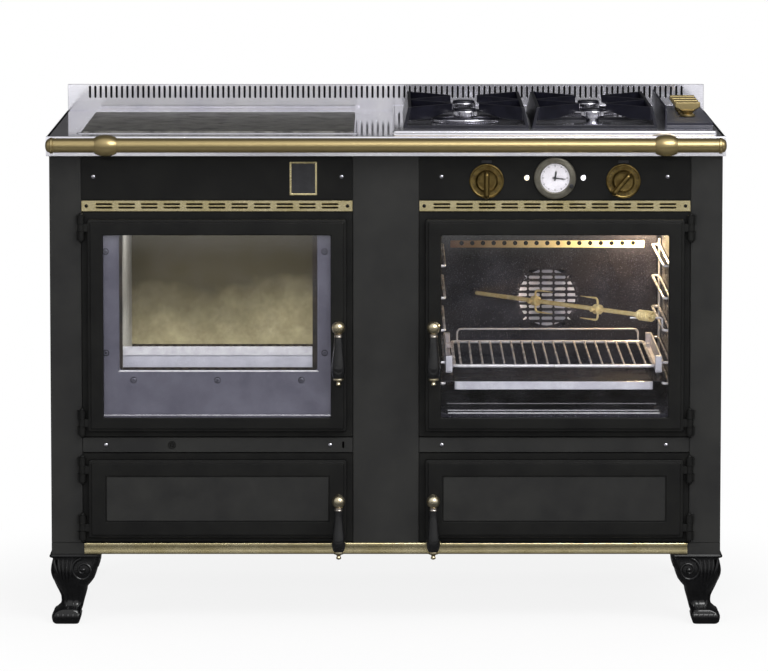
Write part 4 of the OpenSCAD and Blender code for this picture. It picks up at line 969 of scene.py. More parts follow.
@dataclass(frozen=True)
class Leg:
    """A cast cabriole leg: square plate, knee with a volute on both outer faces, stepped foot."""

    width: float = 88.0
    plate: float = 8.0
    height: float = 128.0
    # Heights with the outer and inner edge of the leg, seen from the front
    stations: tuple[Point, ...] = (
        (0, 4.2, 46), (1.6, 2.2, 47.6), (4, 0.4, 48.6), (9, 0, 50.4), (15, 0, 51.6), (17, 1.2, 52),
        (20, 2, 51), (24, 2.6, 51.6), (26.5, 4.6, 53.2), (30, 12, 54.2), (36, 15.8, 55.6), (42, 16.8, 57.2),
        (50, 16.4, 59.6), (58, 13.2, 61.6), (66, 8.8, 62.8), (74, 4.6, 69.6), (82, 1.6, 75.4),
        (90, 0.2, 78.6), (97, 0.2, 79.4), (104, 1, 84), (110, 1.6, 85.4), (116, 2, 86), (120.5, 2.2, 86)
    )
    volute: Flat = (56, 98)
    # How far the relief stands out past the cabinet, and the cabinet's corners
    proud: float = 4.4
    corner_x: float = 600.0
    corners_t: Flat = (10, 640)

    def ring(self, z: float, outer: float, inner: float) -> list[Point]:
        """Returns one level of the leg, a square with round corners.

        Args:
            z: The height.
            outer: The outer edge.
            inner: The inner edge.
        """
        span = inner - outer
        radius = min(span * 0.34, 15) if z > 20 else min(span * 0.16, 7)
        return Facing.TOP.ring(rounded((outer, inner, outer, inner), radius, 6), z)

    def form(self) -> Form:
        """Returns the leg at its own corner, its outer faces to the left and front."""
        form = Form().loft([self.ring(*s) for s in self.stations])
        top = self.height - self.plate
        form.block((0, 0, top), (self.width, self.width, self.height), soft=1.4)
        edge, far, bead = -1.4, self.width - 6, top + self.plate / 2
        form.tube(bent([(far, edge, bead), (edge, edge, bead), (edge, far, bead)], 3), 2.9, 12)
        for swap in (False, True):
            self.relief(form, swap)
        return form

    def face_at(self, z: float) -> float:
        """Returns how far the leg's face lies from the plate's edge at a height."""
        for (z0, a, _), (z1, b, _) in zip(self.stations, self.stations[1:]):
            if z0 <= z <= z1:
                return a + (b - a) * (z - z0) / (z1 - z0)
        return self.stations[-1][1]

    def relief(self, form: Form, swap: bool) -> None:
        """Adds the volute, the leaf ribs, the shin's ridges and the toes to one face.

        Args:
            form: The leg.
            swap: Whether this is the side face instead of the front.
        """

        def lay(u: float, z: float, sunk: float, least: float = -math.inf) -> Point:
            """Returns a place sunk a little below the face, but never further out than the least depth."""
            w = max(least, self.face_at(z) + sunk)
            return (w, u, z) if swap else (u, w, z)

        cx, cz = self.volute
        coil, size = [], []
        for i in range(46):
            s = i / 45
            a = math.radians(100 + 600 * s)
            r = 19.5 * (1 - s) ** 0.85 + 2.0
            coil.append(lay(cx + r * math.cos(a), cz + r * math.sin(a), 0.6, -1))
            size.append(3.4 - 1.6 * s)
        form.tube(coil, size, 10)
        axis = (-1, 0, 0) if swap else (0, -1, 0)
        form.turned([(4.6, -3), (4.6, 1.2), (3.4, 2.4), (1.6, 3), (0, 3.2)], lay(cx, cz, 0.6), axis, 20)
        for k in range(5):
            rib, size = [], []
            for i in range(14):
                s = i / 13
                z = 117 - (34 + 5 * k) * s
                rib.append(lay(4 + 8.2 * k + 10 * s * s - 3 * k * s, z, 0.8, -0.6))
                size.append(0.8 + 2.6 * math.sin(math.pi * (0.12 + 0.8 * s)))
            form.tube(rib, size, 8)
        for u0, u1, low in ((21, 24, 30), (35, 36, 28), (48, 46, 30)):
            ridge, size = [], []
            for i in range(12):
                s = i / 11
                ridge.append(lay(u0 + (u1 - u0) * s + 2.5 * math.sin(3 * s), 84 - (84 - low) * s, 1.2))
                size.append(1 + 2 * math.sin(math.pi * s))
            form.tube(ridge, size, 8)
        for u in (10, 19, 28, 37, 46):
            toe = [lay(u, z, 1.6 if z > 6 else 3.2) for z in (3.5, 7, 11, 15, 18.5, 21.5)]
            form.tube(toe, [1, 2.4, 2.9, 2.7, 1.8, 0.8], 8)

    def build(self) -> None:
        """Builds the four legs, each mirrored into its corner."""
        near, far = self.corners_t
        for side, word in SIDES:
            for back in (False, True):
                form = self.form()
                for vert in form.mesh.verts:
                    x, y = (min(max(c, -self.proud), self.width) for c in vert.co.xy)
                    vert.co = (side * (self.corner_x - x), far - y if back else near + y, vert.co.z)
                if (side < 0) == back:
                    bmesh.ops.reverse_faces(form.mesh, faces=form.mesh.faces)
                name = f"{'rear' if back else 'front'}_{word}_leg"
                form.piece(name, Finishes.LEG, replaces="legs", crease=50)


# ---- doors --------------------------------------------------------------------------------


@dataclass(frozen=True)
class Door:
    """A hinged casting with an eased shoulder all round; drawn for the right bay."""

    name: str
    rect: Rect
    side: int
    hinge_off: float
    front: float = -10.0
    back: float = 10.0
    hinge_x: float = 543.5
    hinge_h: float = 44.0

    def shell(self) -> list[list[Point]]:
        """Returns the casting's outer rings, from its back to the rim of its face."""
        edge = [
            (0.6, self.back), (0, self.back - 0.8), (0, -4.4), (0.5, -5.5), (1.6, -6), (4.2, -6), (5, -6.5),
            (5, -8.2), (5.5, -9.3), (6.6, self.front)
        ]
        return [self.level(inset(self.rect, by), max(4 - by * 0.3, 1), depth) for by, depth in edge]

    def level(self, rect: Rect, corner: float, depth: float) -> list[Point]:
        """Returns one ring round a rectangle."""
        return Facing.FRONT.ring(rounded(rect, corner, 5), depth)

    def lugs(self, form: Form) -> None:
        """Adds the door's own hinge knuckles.

        Args:
            form: The door.
        """
        third = self.hinge_h / 3
        for low in (self.rect[2] - self.hinge_off, self.rect[3] - self.hinge_h + self.hinge_off):
            z0, z1 = low + third + 0.4, low + 2 * third - 0.4
            knuckle = [(6.25, z0 + 0.5), (5.7, z0), (3.05, z0), (3.05, z1), (5.7, z1), (6.25, z1 - 0.5)]
            form.loft([Facing.TOP.ring(circle((self.hinge_x, 0), r, 28), z) for r, z in knuckle], shut=True)
            form.block((self.rect[1] - 2, -5, z0), (self.hinge_x - 4.6, 4, z1), soft=0.6)

    def finish(self, form: Form, *finishes: Finishes) -> None:
        """Adds the hinges to the casting and makes it a piece."""
        self.lugs(form)
        form.on(self.side).piece(
            f"{self.name}_casting", *finishes, body=f"{self.name}_leaf", replaces=self.name
        )


@dataclass(frozen=True)
class GlazedDoor(Door):
    """An upper door, with its window and glass."""

    glass: Flat = (-4, 0)

    def build(self) -> None:
        """Builds the casting round its window, and the ground-edged glass."""
        near, far = self.glass
        reveal = [
            (2.2, self.front), (1, -9.7), (0.2, -8.8), (0, -7.6), (0, near), (8, near), (8, self.back)
        ]
        rings = self.shell() + [self.level(inset(WINDOW, -by), 3, depth) for by, depth in reveal]
        self.finish(Form().loft(rings, shut=True), Finishes.CASTING)
        pane = Form().terrace(
            inset(WINDOW, -7.4), [(0.8, far), (0, far - 0.8), (0, near + 0.9), (0.8, near + 0.1)], 2
        )
        pane.on(self.side).piece(
            f"{self.name}_glass", Finishes.GLASS, body=f"{self.name}_leaf", replaces=f"{self.name}_glass",
            crease=8
        )


@dataclass(frozen=True)
class FlatDoor(Door):
    """A lower door with a raised field in a fine groove."""

    field: Rect = (100.5, 502, 188.5, 272)

    def build(self) -> None:
        """Builds the casting with its field, which wears a paler finish."""
        groove = ((-0.8, self.front), (0, -9.6), (0.2, -8.2), (1.8, -8.2), (2, -9.4), (2.7, self.front))
        form = Form().loft(
            self.shell() + [self.level(inset(self.field, by), 2, depth) for by, depth in groove]
        )
        x0, x1, z0, z1 = self.field
        for face in form.mesh.faces:
            x, t, z = face.calc_center_median()
            if x0 < x < x1 and z0 < z < z1 and t < self.front + 0.1:
                face.material_index = 1
        self.finish(form, Finishes.CASTING, Finishes.FIELD)


@dataclass(frozen=True)
class FireFrame:
    """The steel frame behind the fire door's glass, its screws, and the rope seal."""

    hole: Rect = (122.5, 476, 461, 704)
    edge: float = 2.4
    bead_turns: int = 160

    def build(self) -> None:
        """Builds the frame with rolled inner edges, a bright strip along the foot of its opening that is a
        painted highlight, and the rope.
        """
        outer = inset(WINDOW, -7.6)
        x0, x1, z0, z1 = self.hole
        edge = self.edge
        form = Form().sheet(rounded(outer, 2), [rounded(self.hole, 5)], Facing.FRONT, 3, 6, soft=0.6)
        form.terrace(outer, [(0, 0.1), (0, 3), (5.6, 3), (5.6, 0.1)], 2, shut=True)
        for a, b in ((x0 - edge, x0), (x1, x1 + edge)):
            form.block((a, 1.9, z0 - edge), (b, 3.4, z1 - 6), soft=0.5)
        # The strip along the opening's foot wears bright chrome: a painted highlight
        form.block((x0 - edge, 1.9, z0 - 3), (x1 + edge, 3.4, z0 - 0.2), soft=0.5, finish=1)
        self.bead(form)
        left, right, low, high = WINDOW
        screws = [(x, z) for x in (left + 11, right - 4) for z in (high - 30, low + 115)]
        screws += [(BAY_MID + x, low + 66) for x in (-150, 0, 150)]
        for x, z in screws:
            c = (x, 3.1, z)
            # Each screw's dark outer ring and dark core are painted shade of the countersink and the socket
            form.turned([(5.6, 0), (5.6, 0.3), (4.4, 0.5), (4.4, 0)], c, steps=28, finish=2)
            form.turned([(4.3, 0), (4.3, 0.5), (3.4, 1.1), (2.2, 1.4)], c, steps=24)
            form.turned([(2.1, 0), (2.1, 1.5), (1.2, 1.6), (0.8, 1.2), (0, 1.2)], c, steps=20, finish=2)
        form.on(-1).piece(
            "fire_door_frame_steel", Finishes.GREY_STEEL, Finishes.WIRE, Finishes.SHADE,
            body="fire_door_leaf", replaces="fire_door_frame"
        )
        rope = Form().tube(Facing.FRONT.ring(rounded(inset(UPPER, 5.5), 6, 6), 10.9), 0.9, 8, looped=True)
        rope.on(-1).piece("fire_door_rope", Finishes.ROPE, body="fire_door_leaf")

    def bead(self, form: Form) -> None:
        """Adds the uneven bright bead at the foot of the window.

        Args:
            form: The frame.
        """
        start, wide = WINDOW[0] - 4, WINDOW[1] - WINDOW[0] + 8
        path, sizes = [], []
        for i in range(self.bead_turns + 1):
            path.append((start + wide * i / self.bead_turns, 2, WINDOW[2] + 3 + 0.35 * math.sin(i * 2.4)))
            sizes.append(0.95 + 0.3 * math.sin(i * 1.7) * math.cos(i * 0.9))
        form.tube(path, sizes, 8, finish=1)


@dataclass(frozen=True)
class Handle:
    """A hanging handle: ball on its spindle, nickel collar, black grip, brass ring and finial."""

    door: str
    side: int
    z: float
    ball: float = 12.0
    ball_t: float = -40.0
    grip: float = 74.5
    # Radii and heights along the spindle, from the ball to the cam's end
    neck: tuple[Flat, ...] = (
        (5.5, 0), (5.5, 20), (6.4, 22), (6.4, 23.5), (5.6, 24.4), (8.4, 25.7), (9, 26.6), (9, 29.2),
        (8.6, 29.7)
    )
    spindle: tuple[Flat, ...] = ((5, 29.7), (5, 50.3), (8.7, 50.3), (9, 50.7), (9, 54.9), (8.6, 55.3))
    # Radii and heights of collar, grip and finial, each down from its own start
    collar: tuple[Flat, ...] = (
        (5.6, 0), (7.1, 0.8), (7.4, 2.2), (7.1, 3.6), (7.6, 4.4), (7.6, 5.4), (6, 5.8)
    )
    swell: tuple[Flat, ...] = (
        (6.8, 0), (7.75, 0.6), (8.1, 8), (8.7, 18), (9.8, 28), (11.1, 40), (12.3, 50), (12.8, 55.5),
        (12.7, 61), (11.8, 66.5), (10.2, 71), (8.8, 73.5), (7.6, 74.2)
    )
    finial: tuple[Flat, ...] = (
        (7.6, -0.4), (8.6, 0), (8.9, 1.2), (8.9, 2.8), (8.4, 4), (5.2, 5), (3.4, 6.6), (3.3, 8), (4.2, 9.4),
        (4.6, 10.8), (4.2, 12.2), (2.8, 13.3), (1, 13.9)
    )

    def build(self) -> None:
        """Builds the brass, the collar and the grip."""
        body = f"{self.door}_handle"
        hub = (HANDLE_X * self.side, self.ball_t, self.z)
        angles = [math.radians(12 * i - 84) for i in range(15)]
        brass = Form().turned(
            [(self.ball * math.cos(a), self.ball * math.sin(a)) for a in angles], hub, UP, 40
        )
        brass.turned(self.neck, hub, REARWARD, 32)
        brass.turned(self.spindle, hub, REARWARD, 32)
        self.hang(brass, self.finial, self.ball + 4 + self.grip, 32)
        brass.piece(
            f"handle_{self.door}_brass", Finishes.BALL_BRASS, body=body, replaces=f"handle_{self.door}"
        )
        collar = self.hang(Form(), self.collar, self.ball - 1.2, 32)
        collar.piece(f"handle_{self.door}_collar", Finishes.NICKEL, body=body)
        grip = self.hang(Form(), self.swell, self.ball + 4.2, 36)
        grip.piece(f"handle_{self.door}_grip", Finishes.GRIP, body=body)

    def hang(self, form: Form, profile: tuple[Flat, ...], start: float, steps: int) -> Form:
        """Turns a profile below the ball.

        Args:
            form: The form that takes it.
            profile: Radii and heights down from the start.
            start: How far below the ball's middle it starts.
            steps: Steps round it.

        Returns:
            The form.
        """
        return form.turned(profile, (HANDLE_X * self.side, self.ball_t, self.z - start), DOWN, steps)


# ---- worktop and hob -----------------------------------------------------------------------


@dataclass(frozen=True)
class Worktop:
    """Polished stainless worktop with its apron, raised rim, and slotted backsplash."""

    half: float = 605.0
    depth: float = 650.0
    foot: float = APRON_Z + 4.6
    splash: float = 50.0
    hob: Rect = (27.6, 579, 40, 527)

    def sheet_top(self) -> None:
        """Builds the top sheet, the folded apron and sides, and the rim round the hotplate."""
        top, foot, half = WORKTOP_Z, self.foot, self.half
        gap = inset(PLATE, -0.6)
        form = Form().sheet(
            rounded((2 - half, half - 2, 2, self.depth), 1), [rounded(gap, 3), rounded(self.hob, 3)],
            Facing.TOP, top - 3, top, soft=0.3
        )
        section = [
            (3, top - 3.2), (3, foot + 0.5), (2.4, foot), (0.6, foot), (0, foot + 0.6), (0, top - 3),
            (0.25, top - 1.6), (0.9, top - 0.6), (1.9, top - 0.05), (3, top), (6, top), (6, top - 3.2)
        ]
        form.prism(section, Facing.SIDE, 0.4 - half, half - 0.4)
        for side, _ in SIDES:
            form.prism([(side * (half - x), z) for x, z in section], Facing.FRONT, 0.5, self.depth)
        form.piece("worktop_sheet", Finishes.STAINLESS, replaces="worktop")
        heads = Form()
        for side, _ in SIDES:
            heads.block((side * 59.5, 12.2, APRON_Z - 1.4), (side * 543, 15, foot + 1), soft=0.4)
        heads.piece("fascia_heads", Finishes.FASCIA)
        bead = [(0, -0.2), (0, 0.8), (0.8, 1.4), (2, 1.6), (6.4, 1.6), (7.4, 1.4), (8, 1), (8, -0.2)]
        rim = Form().terrace(inset(gap, -8), [(by, top + z) for by, z in bead], 6, Facing.TOP, shut=True)
        rim.piece("hotplate_rim", Finishes.STAINLESS)

    def backsplash(self) -> None:
        """Builds the slotted upstand with its folded top, and a black sheet behind the slots as painted shade.
        """
        half, high, back = self.half - 2.5, WORKTOP_Z + self.splash, self.depth
        pitch, slot = 10.1, (2, 11.5)
        count = int((2 * half - 76) / pitch) + 1
        places = [((i - (count - 1) / 2) * pitch, high - 3 - slot[1]) for i in range(count)]
        holes = [rounded(around(place, slot), 1.9, 3) for place in places]
        form = Form().sheet(
            rounded((-half, half, WORKTOP_Z, high), 0.8, 2), holes, Facing.FRONT, back - 6, back - 3
        )
        foot = high - 2 * slot[1] - 8
        form.block((-half, back - 2.6, foot), (half, back, high), soft=0.6)
        # A black sheet behind the slots stands for the shade in them: painted shade
        form.block(
            (1 - half, back - 3.1, foot + 0.4), (half - 1, back - 2.5, high - 1), soft=0.05, finish=1
        )
        form.piece("backsplash_slotted", Finishes.STAINLESS, Finishes.SHADE, replaces="backsplash")

    def build(self) -> None:
        """Builds the worktop and the backsplash."""
        self.sheet_top()
        self.backsplash()


@dataclass(frozen=True)
class Hotplate:
    """Ground cast iron plate with its lift-out plug."""

    low: float = 872.0
    ledge_z: float = 878.0
    high: float = 884.0
    centre: Flat = (-301.75, 472)
    plug: float = 70.0
    ledge: float = 5.0
    gap: float = 0.6
    lift_t: float = 262.0

    def build(self) -> None:
        """Builds the plate and the plug with its grip slot."""
        cx, ct = self.centre
        seat, steps = self.plug - self.ledge, 96
        holes = [circle(self.centre, self.plug, steps), circle((cx, self.lift_t), 5, 24)]
        form = Form().sheet(rounded(PLATE, 3), holes, Facing.TOP, self.ledge_z, self.high, soft=0.7)
        form.sheet(
            rounded(inset(PLATE, 0.3), 3), [circle(self.centre, seat, steps)], Facing.TOP, self.low,
            self.ledge_z + 0.05, soft=0.2
        )
        form.piece("hotplate_ground", Finishes.HOTPLATE, replaces="hotplate")
        slot = rounded(around((cx, ct + 46), (10, 6)), 3)
        lid = Form().sheet(
            circle(self.centre, self.plug - self.gap, steps), [slot], Facing.TOP, self.ledge_z + 0.1,
            self.high, soft=0.7
        )
        lid.sheet(
            circle(self.centre, seat - self.gap, steps), [], Facing.TOP, self.low, self.ledge_z + 0.15
        )
        lid.piece("hotplate_lid", Finishes.HOTPLATE, body="plug", replaces="hotplate_plug")


@dataclass(frozen=True)
class Burner:
    """A gas burner: cup, toothed chrome crown and enamel cap, with an outer ring on the larger ones."""

    x: float
    t: float
    head: float
    ring: float = 0.0
    tray: float = 890.0
    cap: float = 915.0

    def crown(self, form: Form, outer: float, low: float, high: float, inner: float, teeth: int) -> None:
        """Adds a ring with flame ports cut round it.

        Args:
            form: The form that takes it.
            outer: The ring's radius.
            low: Its foot.
            high: Its top.
            inner: The radius of its opening, or nought.
            teeth: How many ports.
        """
        steps, port = teeth * 4, 1.7

        def level(radius: float, z: float, cut: float = 0.0) -> list[Point]:
            """Returns one ring of points, with the ports cut in by an amount."""
            points = []
            for i, (u, v) in enumerate(circle((0, 0), 1, steps)):
                r = radius - (cut if i % 4 in (1, 2) else 0)
                points.append((self.x + r * u, self.t + r * v, z))
            return points

        foot = low + (high - low) * 0.35
        rings = [
            level(outer - 1, low), level(outer, low + 1), level(outer, foot),
            level(outer, foot + 0.3, port), level(outer, high - 1.6, port), level(outer, high - 1.4),
            level(outer - 0.6, high)
        ]
        if inner > 0:
            rings += [level(inner + 0.6, high), level(inner, high - 0.8), level(inner, low)]
        form.loft(rings, shut=inner > 0)

    def body(self, form: Form) -> None:
        """Adds this burner's cup, crowns and cross bars.

        Args:
            form: The form that takes them.
        """
        cup = [
            (24.5, -24), (26, -22.5), (26, -0.2), (33, 0.2), (34, 1.2), (34, 2), (32.6, 3), (20, 3.6),
            (12, 5.5), (11.6, 12.2)
        ]
        form.turned(cup, (self.x, self.t, self.tray), UP, 48)
        self.crown(form, self.head, self.tray + 12, self.cap, 0, 30)
        if self.ring:
            self.crown(form, self.ring, self.tray + 3, self.tray + 12, self.ring - 13, 84)
            long = self.ring - 6
            for dx, dt in ((long, 3), (3, long)):
                form.block(
                    (self.x - dx, self.t - dt, self.tray + 4), (self.x + dx, self.t + dt, self.tray + 9)
                )

    def lid(self, form: Form) -> None:
        """Adds this burner's enamel caps.

        Args:
            form: The form that takes them.
        """
        r = self.head - 1.5
        dome = [(r - 0.6, 0), (r, 0.7), (r, 2.4), (r - 0.8, 3.8), (r - 3, 4.6), (r * 0.5, 5), (0, 5)]
        form.turned(dome, (self.x, self.t, self.cap), UP, 48)
        if self.ring:
            outer, inner = self.ring - 1, self.ring - 12
            section = [
                (outer, 0), (outer, 1.6), (outer - 1.2, 2.8), (outer - 3, 3), (inner + 3, 3),
                (inner + 1, 2.6), (inner, 1.4), (inner, 0)
            ]
            form.turned(section, (self.x, self.t, self.tray + 12), UP, 72, shut=True)


@dataclass(frozen=True)
class PanSupport:
    """A cast pan support: flared walls, low bars and eight deep fingers."""

    side: str
    cx: float
    half: float = 103.75
    front: float = 50.0
    back: float = 467.0
    low: float = 890.0
    high: float = 928.6
    bar: float = 6.0
    rows: Flat = (154, 362)

    def finger(self, form: Form, start: Flat, end: Flat) -> None:
        """Adds a tapered finger.

        Args:
            form: The form that takes it.
            start: Its root, in plan.
            end: Its tip, in plan.
        """
        a, b = Vector((*start, self.high)), Vector((*end, self.high))
        way, length = (b - a).normalized(), (b - a).length
        side = Vector((-way.y, way.x, 0)) * self.bar / 2
        section = [(0, 0), (length, 0), (length, -13), (length * 0.45, -24), (-4, -24)]
        rings = [
            [tuple(a + way * u + side * sign + Vector((0, 0, v))) for u, v in section] for sign in (-1, 1)
        ]
        form.loft(rings, soft=1.3)

    def build(self) -> None:
        """Builds the casting."""
        form = Form()
        wall, root_h = self.high - self.low, 9
        for side, _ in SIDES:
            x = self.cx + side * self.half
            section = [
                (side * root_h, 0), (0, wall), (-side * self.bar, wall), (side * (root_h - self.bar), 0)
            ]
            form.prism(
                [(x + u, self.low + v) for u, v in section], Facing.FRONT, self.front, self.back, soft=1.2
            )
        near, far = self.rows
        mid, reach = (near + far) / 2, self.half + 4
        for t in (self.front, mid - 3, self.back - self.bar):
            form.block(
                (self.cx - reach, t + 0.1, self.low),
                (self.cx + reach, t + self.bar - 0.1, self.low + self.bar), soft=1.1
            )
        for side, _ in SIDES:
            root, tip = self.cx + side * (self.half - 3), self.cx + side * 26
            for t0, t1 in (
                (self.front + 5, near - 8), (mid - 6, near + 10), (mid + 6, far - 10),
                (self.back - 5, far + 8)
            ):
                self.finger(form, (root, t0), (tip, t1))
        form.piece(
            f"{self.side}_pan_support_cast", Finishes.SUPPORT, body=f"{self.side}_pan_support",
            replaces=f"pan_support_{self.side}"
        )


@dataclass(frozen=True)
class GasHob:
    """Stainless tray, burners, pan supports, control strip and its four bar knobs."""

    tray: Rect = (11.6, 589.6, 2, 641)
    tray_z: float = 890.0
    knob: Flat = (547, 204)
    pitch: float = 60.0
    strip: Rect = (499, 585, 50, 521)
    columns: Flat = (143.5, 373)
    burners: tuple[Burner, ...] = (
        Burner(143.5, 154, 21.5, 61.5), Burner(143.5, 362, 21.5), Burner(373, 154, 21),
        Burner(373, 362, 21, 58.5)
    )

    def knob_places(self) -> list[Flat]:
        """Returns where the four knobs stand, in plan."""
        return [(self.knob[0], self.knob[1] + i * self.pitch) for i in range(4)]

    def tray_form(self) -> None:
        """Builds the pressed tray, with rolled edges and an opening for each burner and knob."""
        z = self.tray_z
        holes = [circle((b.x, b.t), 26.3, 48) for b in self.burners]
        holes += [circle(place, 4.4, 20) for place in self.knob_places()]
        form = Form().sheet(rounded(inset(self.tray, 4), 4), holes, Facing.TOP, z - 3, z, soft=0.3)
        profile = [
            (3, -9.95), (0, -9.95), (0, -4), (0.4, -2), (1.6, -0.6), (3.2, 0), (5, 0), (5, -3), (3, -3)
        ]
        form.terrace(self.tray, [(by, z + v) for by, v in profile], 7, Facing.TOP, shut=True)
        form.piece("gas_tray_pressed", Finishes.STAINLESS, replaces="gas_tray")

    def heads(self) -> None:
        """Builds the four burners' chrome and enamel."""
        bright, caps = Form(), Form()
        for burner in self.burners:
            burner.body(bright)
            burner.lid(caps)
        bright.piece("burner_crowns", Finishes.CHROME, replaces="burner_bodies")
        caps.piece("burner_lids", Finishes.SUPPORT, replaces="burner_caps")

    def controls(self) -> None:
        """Builds the ribbed strip with its round front edge, and the heat shield."""
        x0, x1, t0, t1 = self.strip
        low, rib, shield_wide = self.tray_z, 8, 3.0
        angles = [math.radians(90 - 15 * i) for i in range(7)]
        outline = [
            (t1, low), (t0 + 1.5, low),
            *((t0 + 6 - 6 * math.sin(a), low + 3 + 6 * math.cos(a)) for a in angles)
        ]
        for k in range(int((t1 - t0 - 20) / rib)):
            t = t0 + rib * (k + 1)
            outline += [(t, low + 9), (t + 0.6, low + 10), (t + 3.6, low + 10), (t + 4.2, low + 9)]
        form = Form().prism([*outline, (t1, low + 9)], Facing.SIDE, x0 + shield_wide, x1)
        shield = [
            (t0, low), (t0, low + 33), (t0 + 6, low + 39), (t1 - 6, low + 39), (t1, low + 33), (t1, low)
        ]
        form.prism(shield, Facing.SIDE, x0, x0 + shield_wide, soft=0.9)
        form.piece("control_strip_ribbed", Finishes.STRIP, replaces="control_strip")

    def knobs(self) -> None:
        """Builds the four brass bar knobs."""
        bar = [(23, 13), (23, 4), (11, -2), (-11, -2), (-23, 4), (-23, 13)]
        foot = [
            (13.2, 901), (14, 901.8), (14, 904), (13.2, 905), (8.4, 905.2), (10.2, 907.4), (13, 910.2),
            (14.8, 911.8), (15, 912.6)
        ]
        for i, (x, t) in enumerate(self.knob_places(), start=1):
            form = Form().loft(
                [[(x + u, t + w, 914 + v) for u, v in bar] for w in (-7, 7)], soft=1.6, steps=3
            )
            form.turned(foot, (x, t, 0), UP, 36)
            form.turned([(4, 873), (4, 901.5)], (x, t, 0), UP, 20)
            form.piece(
                f"gas_knob_{i}_bar", Finishes.AGED_BRASS, body=f"gas_tap_{i}", replaces=f"gas_knob_{i}"
            )

    def build(self) -> None:
        """Builds the whole hob."""
        self.tray_form()
        self.heads()
        self.controls()
        self.knobs()
        for (_, side), cx in zip(SIDES, self.columns):
            PanSupport(side, cx).build()


@dataclass(frozen=True)
class Rail:
    """The brass rail with domed ends on two barrel brackets."""

    out: float = -45.0
    z: float = 867.0
    radius: float = 12.5
    half: float = 603.5
    bracket_x: float = 496.5
    barrel: float = 19.6

    def build(self) -> None:
        """Builds the tube and the brackets."""
        tip = [
            (13.4, 14), (14.3, 13.2), (14.3, 9.2), (13.5, 8.2), (self.radius, 8), (11.6, 4.6), (9.2, 2.2),
            (5.6, 0.7), (0, 0.02)
        ]
        right = [(r, self.half - h) for r, h in tip]
        shaft = [(self.radius, h) for h in (14.2 - self.half, 0, self.half - 14.2)]
        tube = Form().turned(
            [(r, -h) for r, h in right[::-1]] + shaft + right, (0, self.out, self.z), (1, 0, 0), 48
        )
        tube.piece("rail_brass", Finishes.AGED_BRASS, replaces="rail_tube")
        bore, steps = self.radius + 0.05, 16
        section = [(bore, -self.barrel)]
        for i in range(steps + 1):
            share = 2 * i / steps - 1
            section.append((19 - 5 * abs(share) ** 2.4, self.barrel * share))
        section.append((bore, self.barrel))
        stem = [(8, 14), (8, 38), (8.8, 40), (11.4, 41.2), (12, 42.2), (12, 44.6), (11.6, 45)]
        form = Form()
        for side, _ in SIDES:
            centre = (side * self.bracket_x, self.out, self.z)
            form.turned(section, centre, (1, 0, 0), 48, shut=True)
            form.turned(stem, centre, REARWARD, 36)
        form.piece("rail_brackets_barrel", Finishes.AGED_BRASS, replaces="rail_brackets")


# ---- controls ------------------------------------------------------------------------------


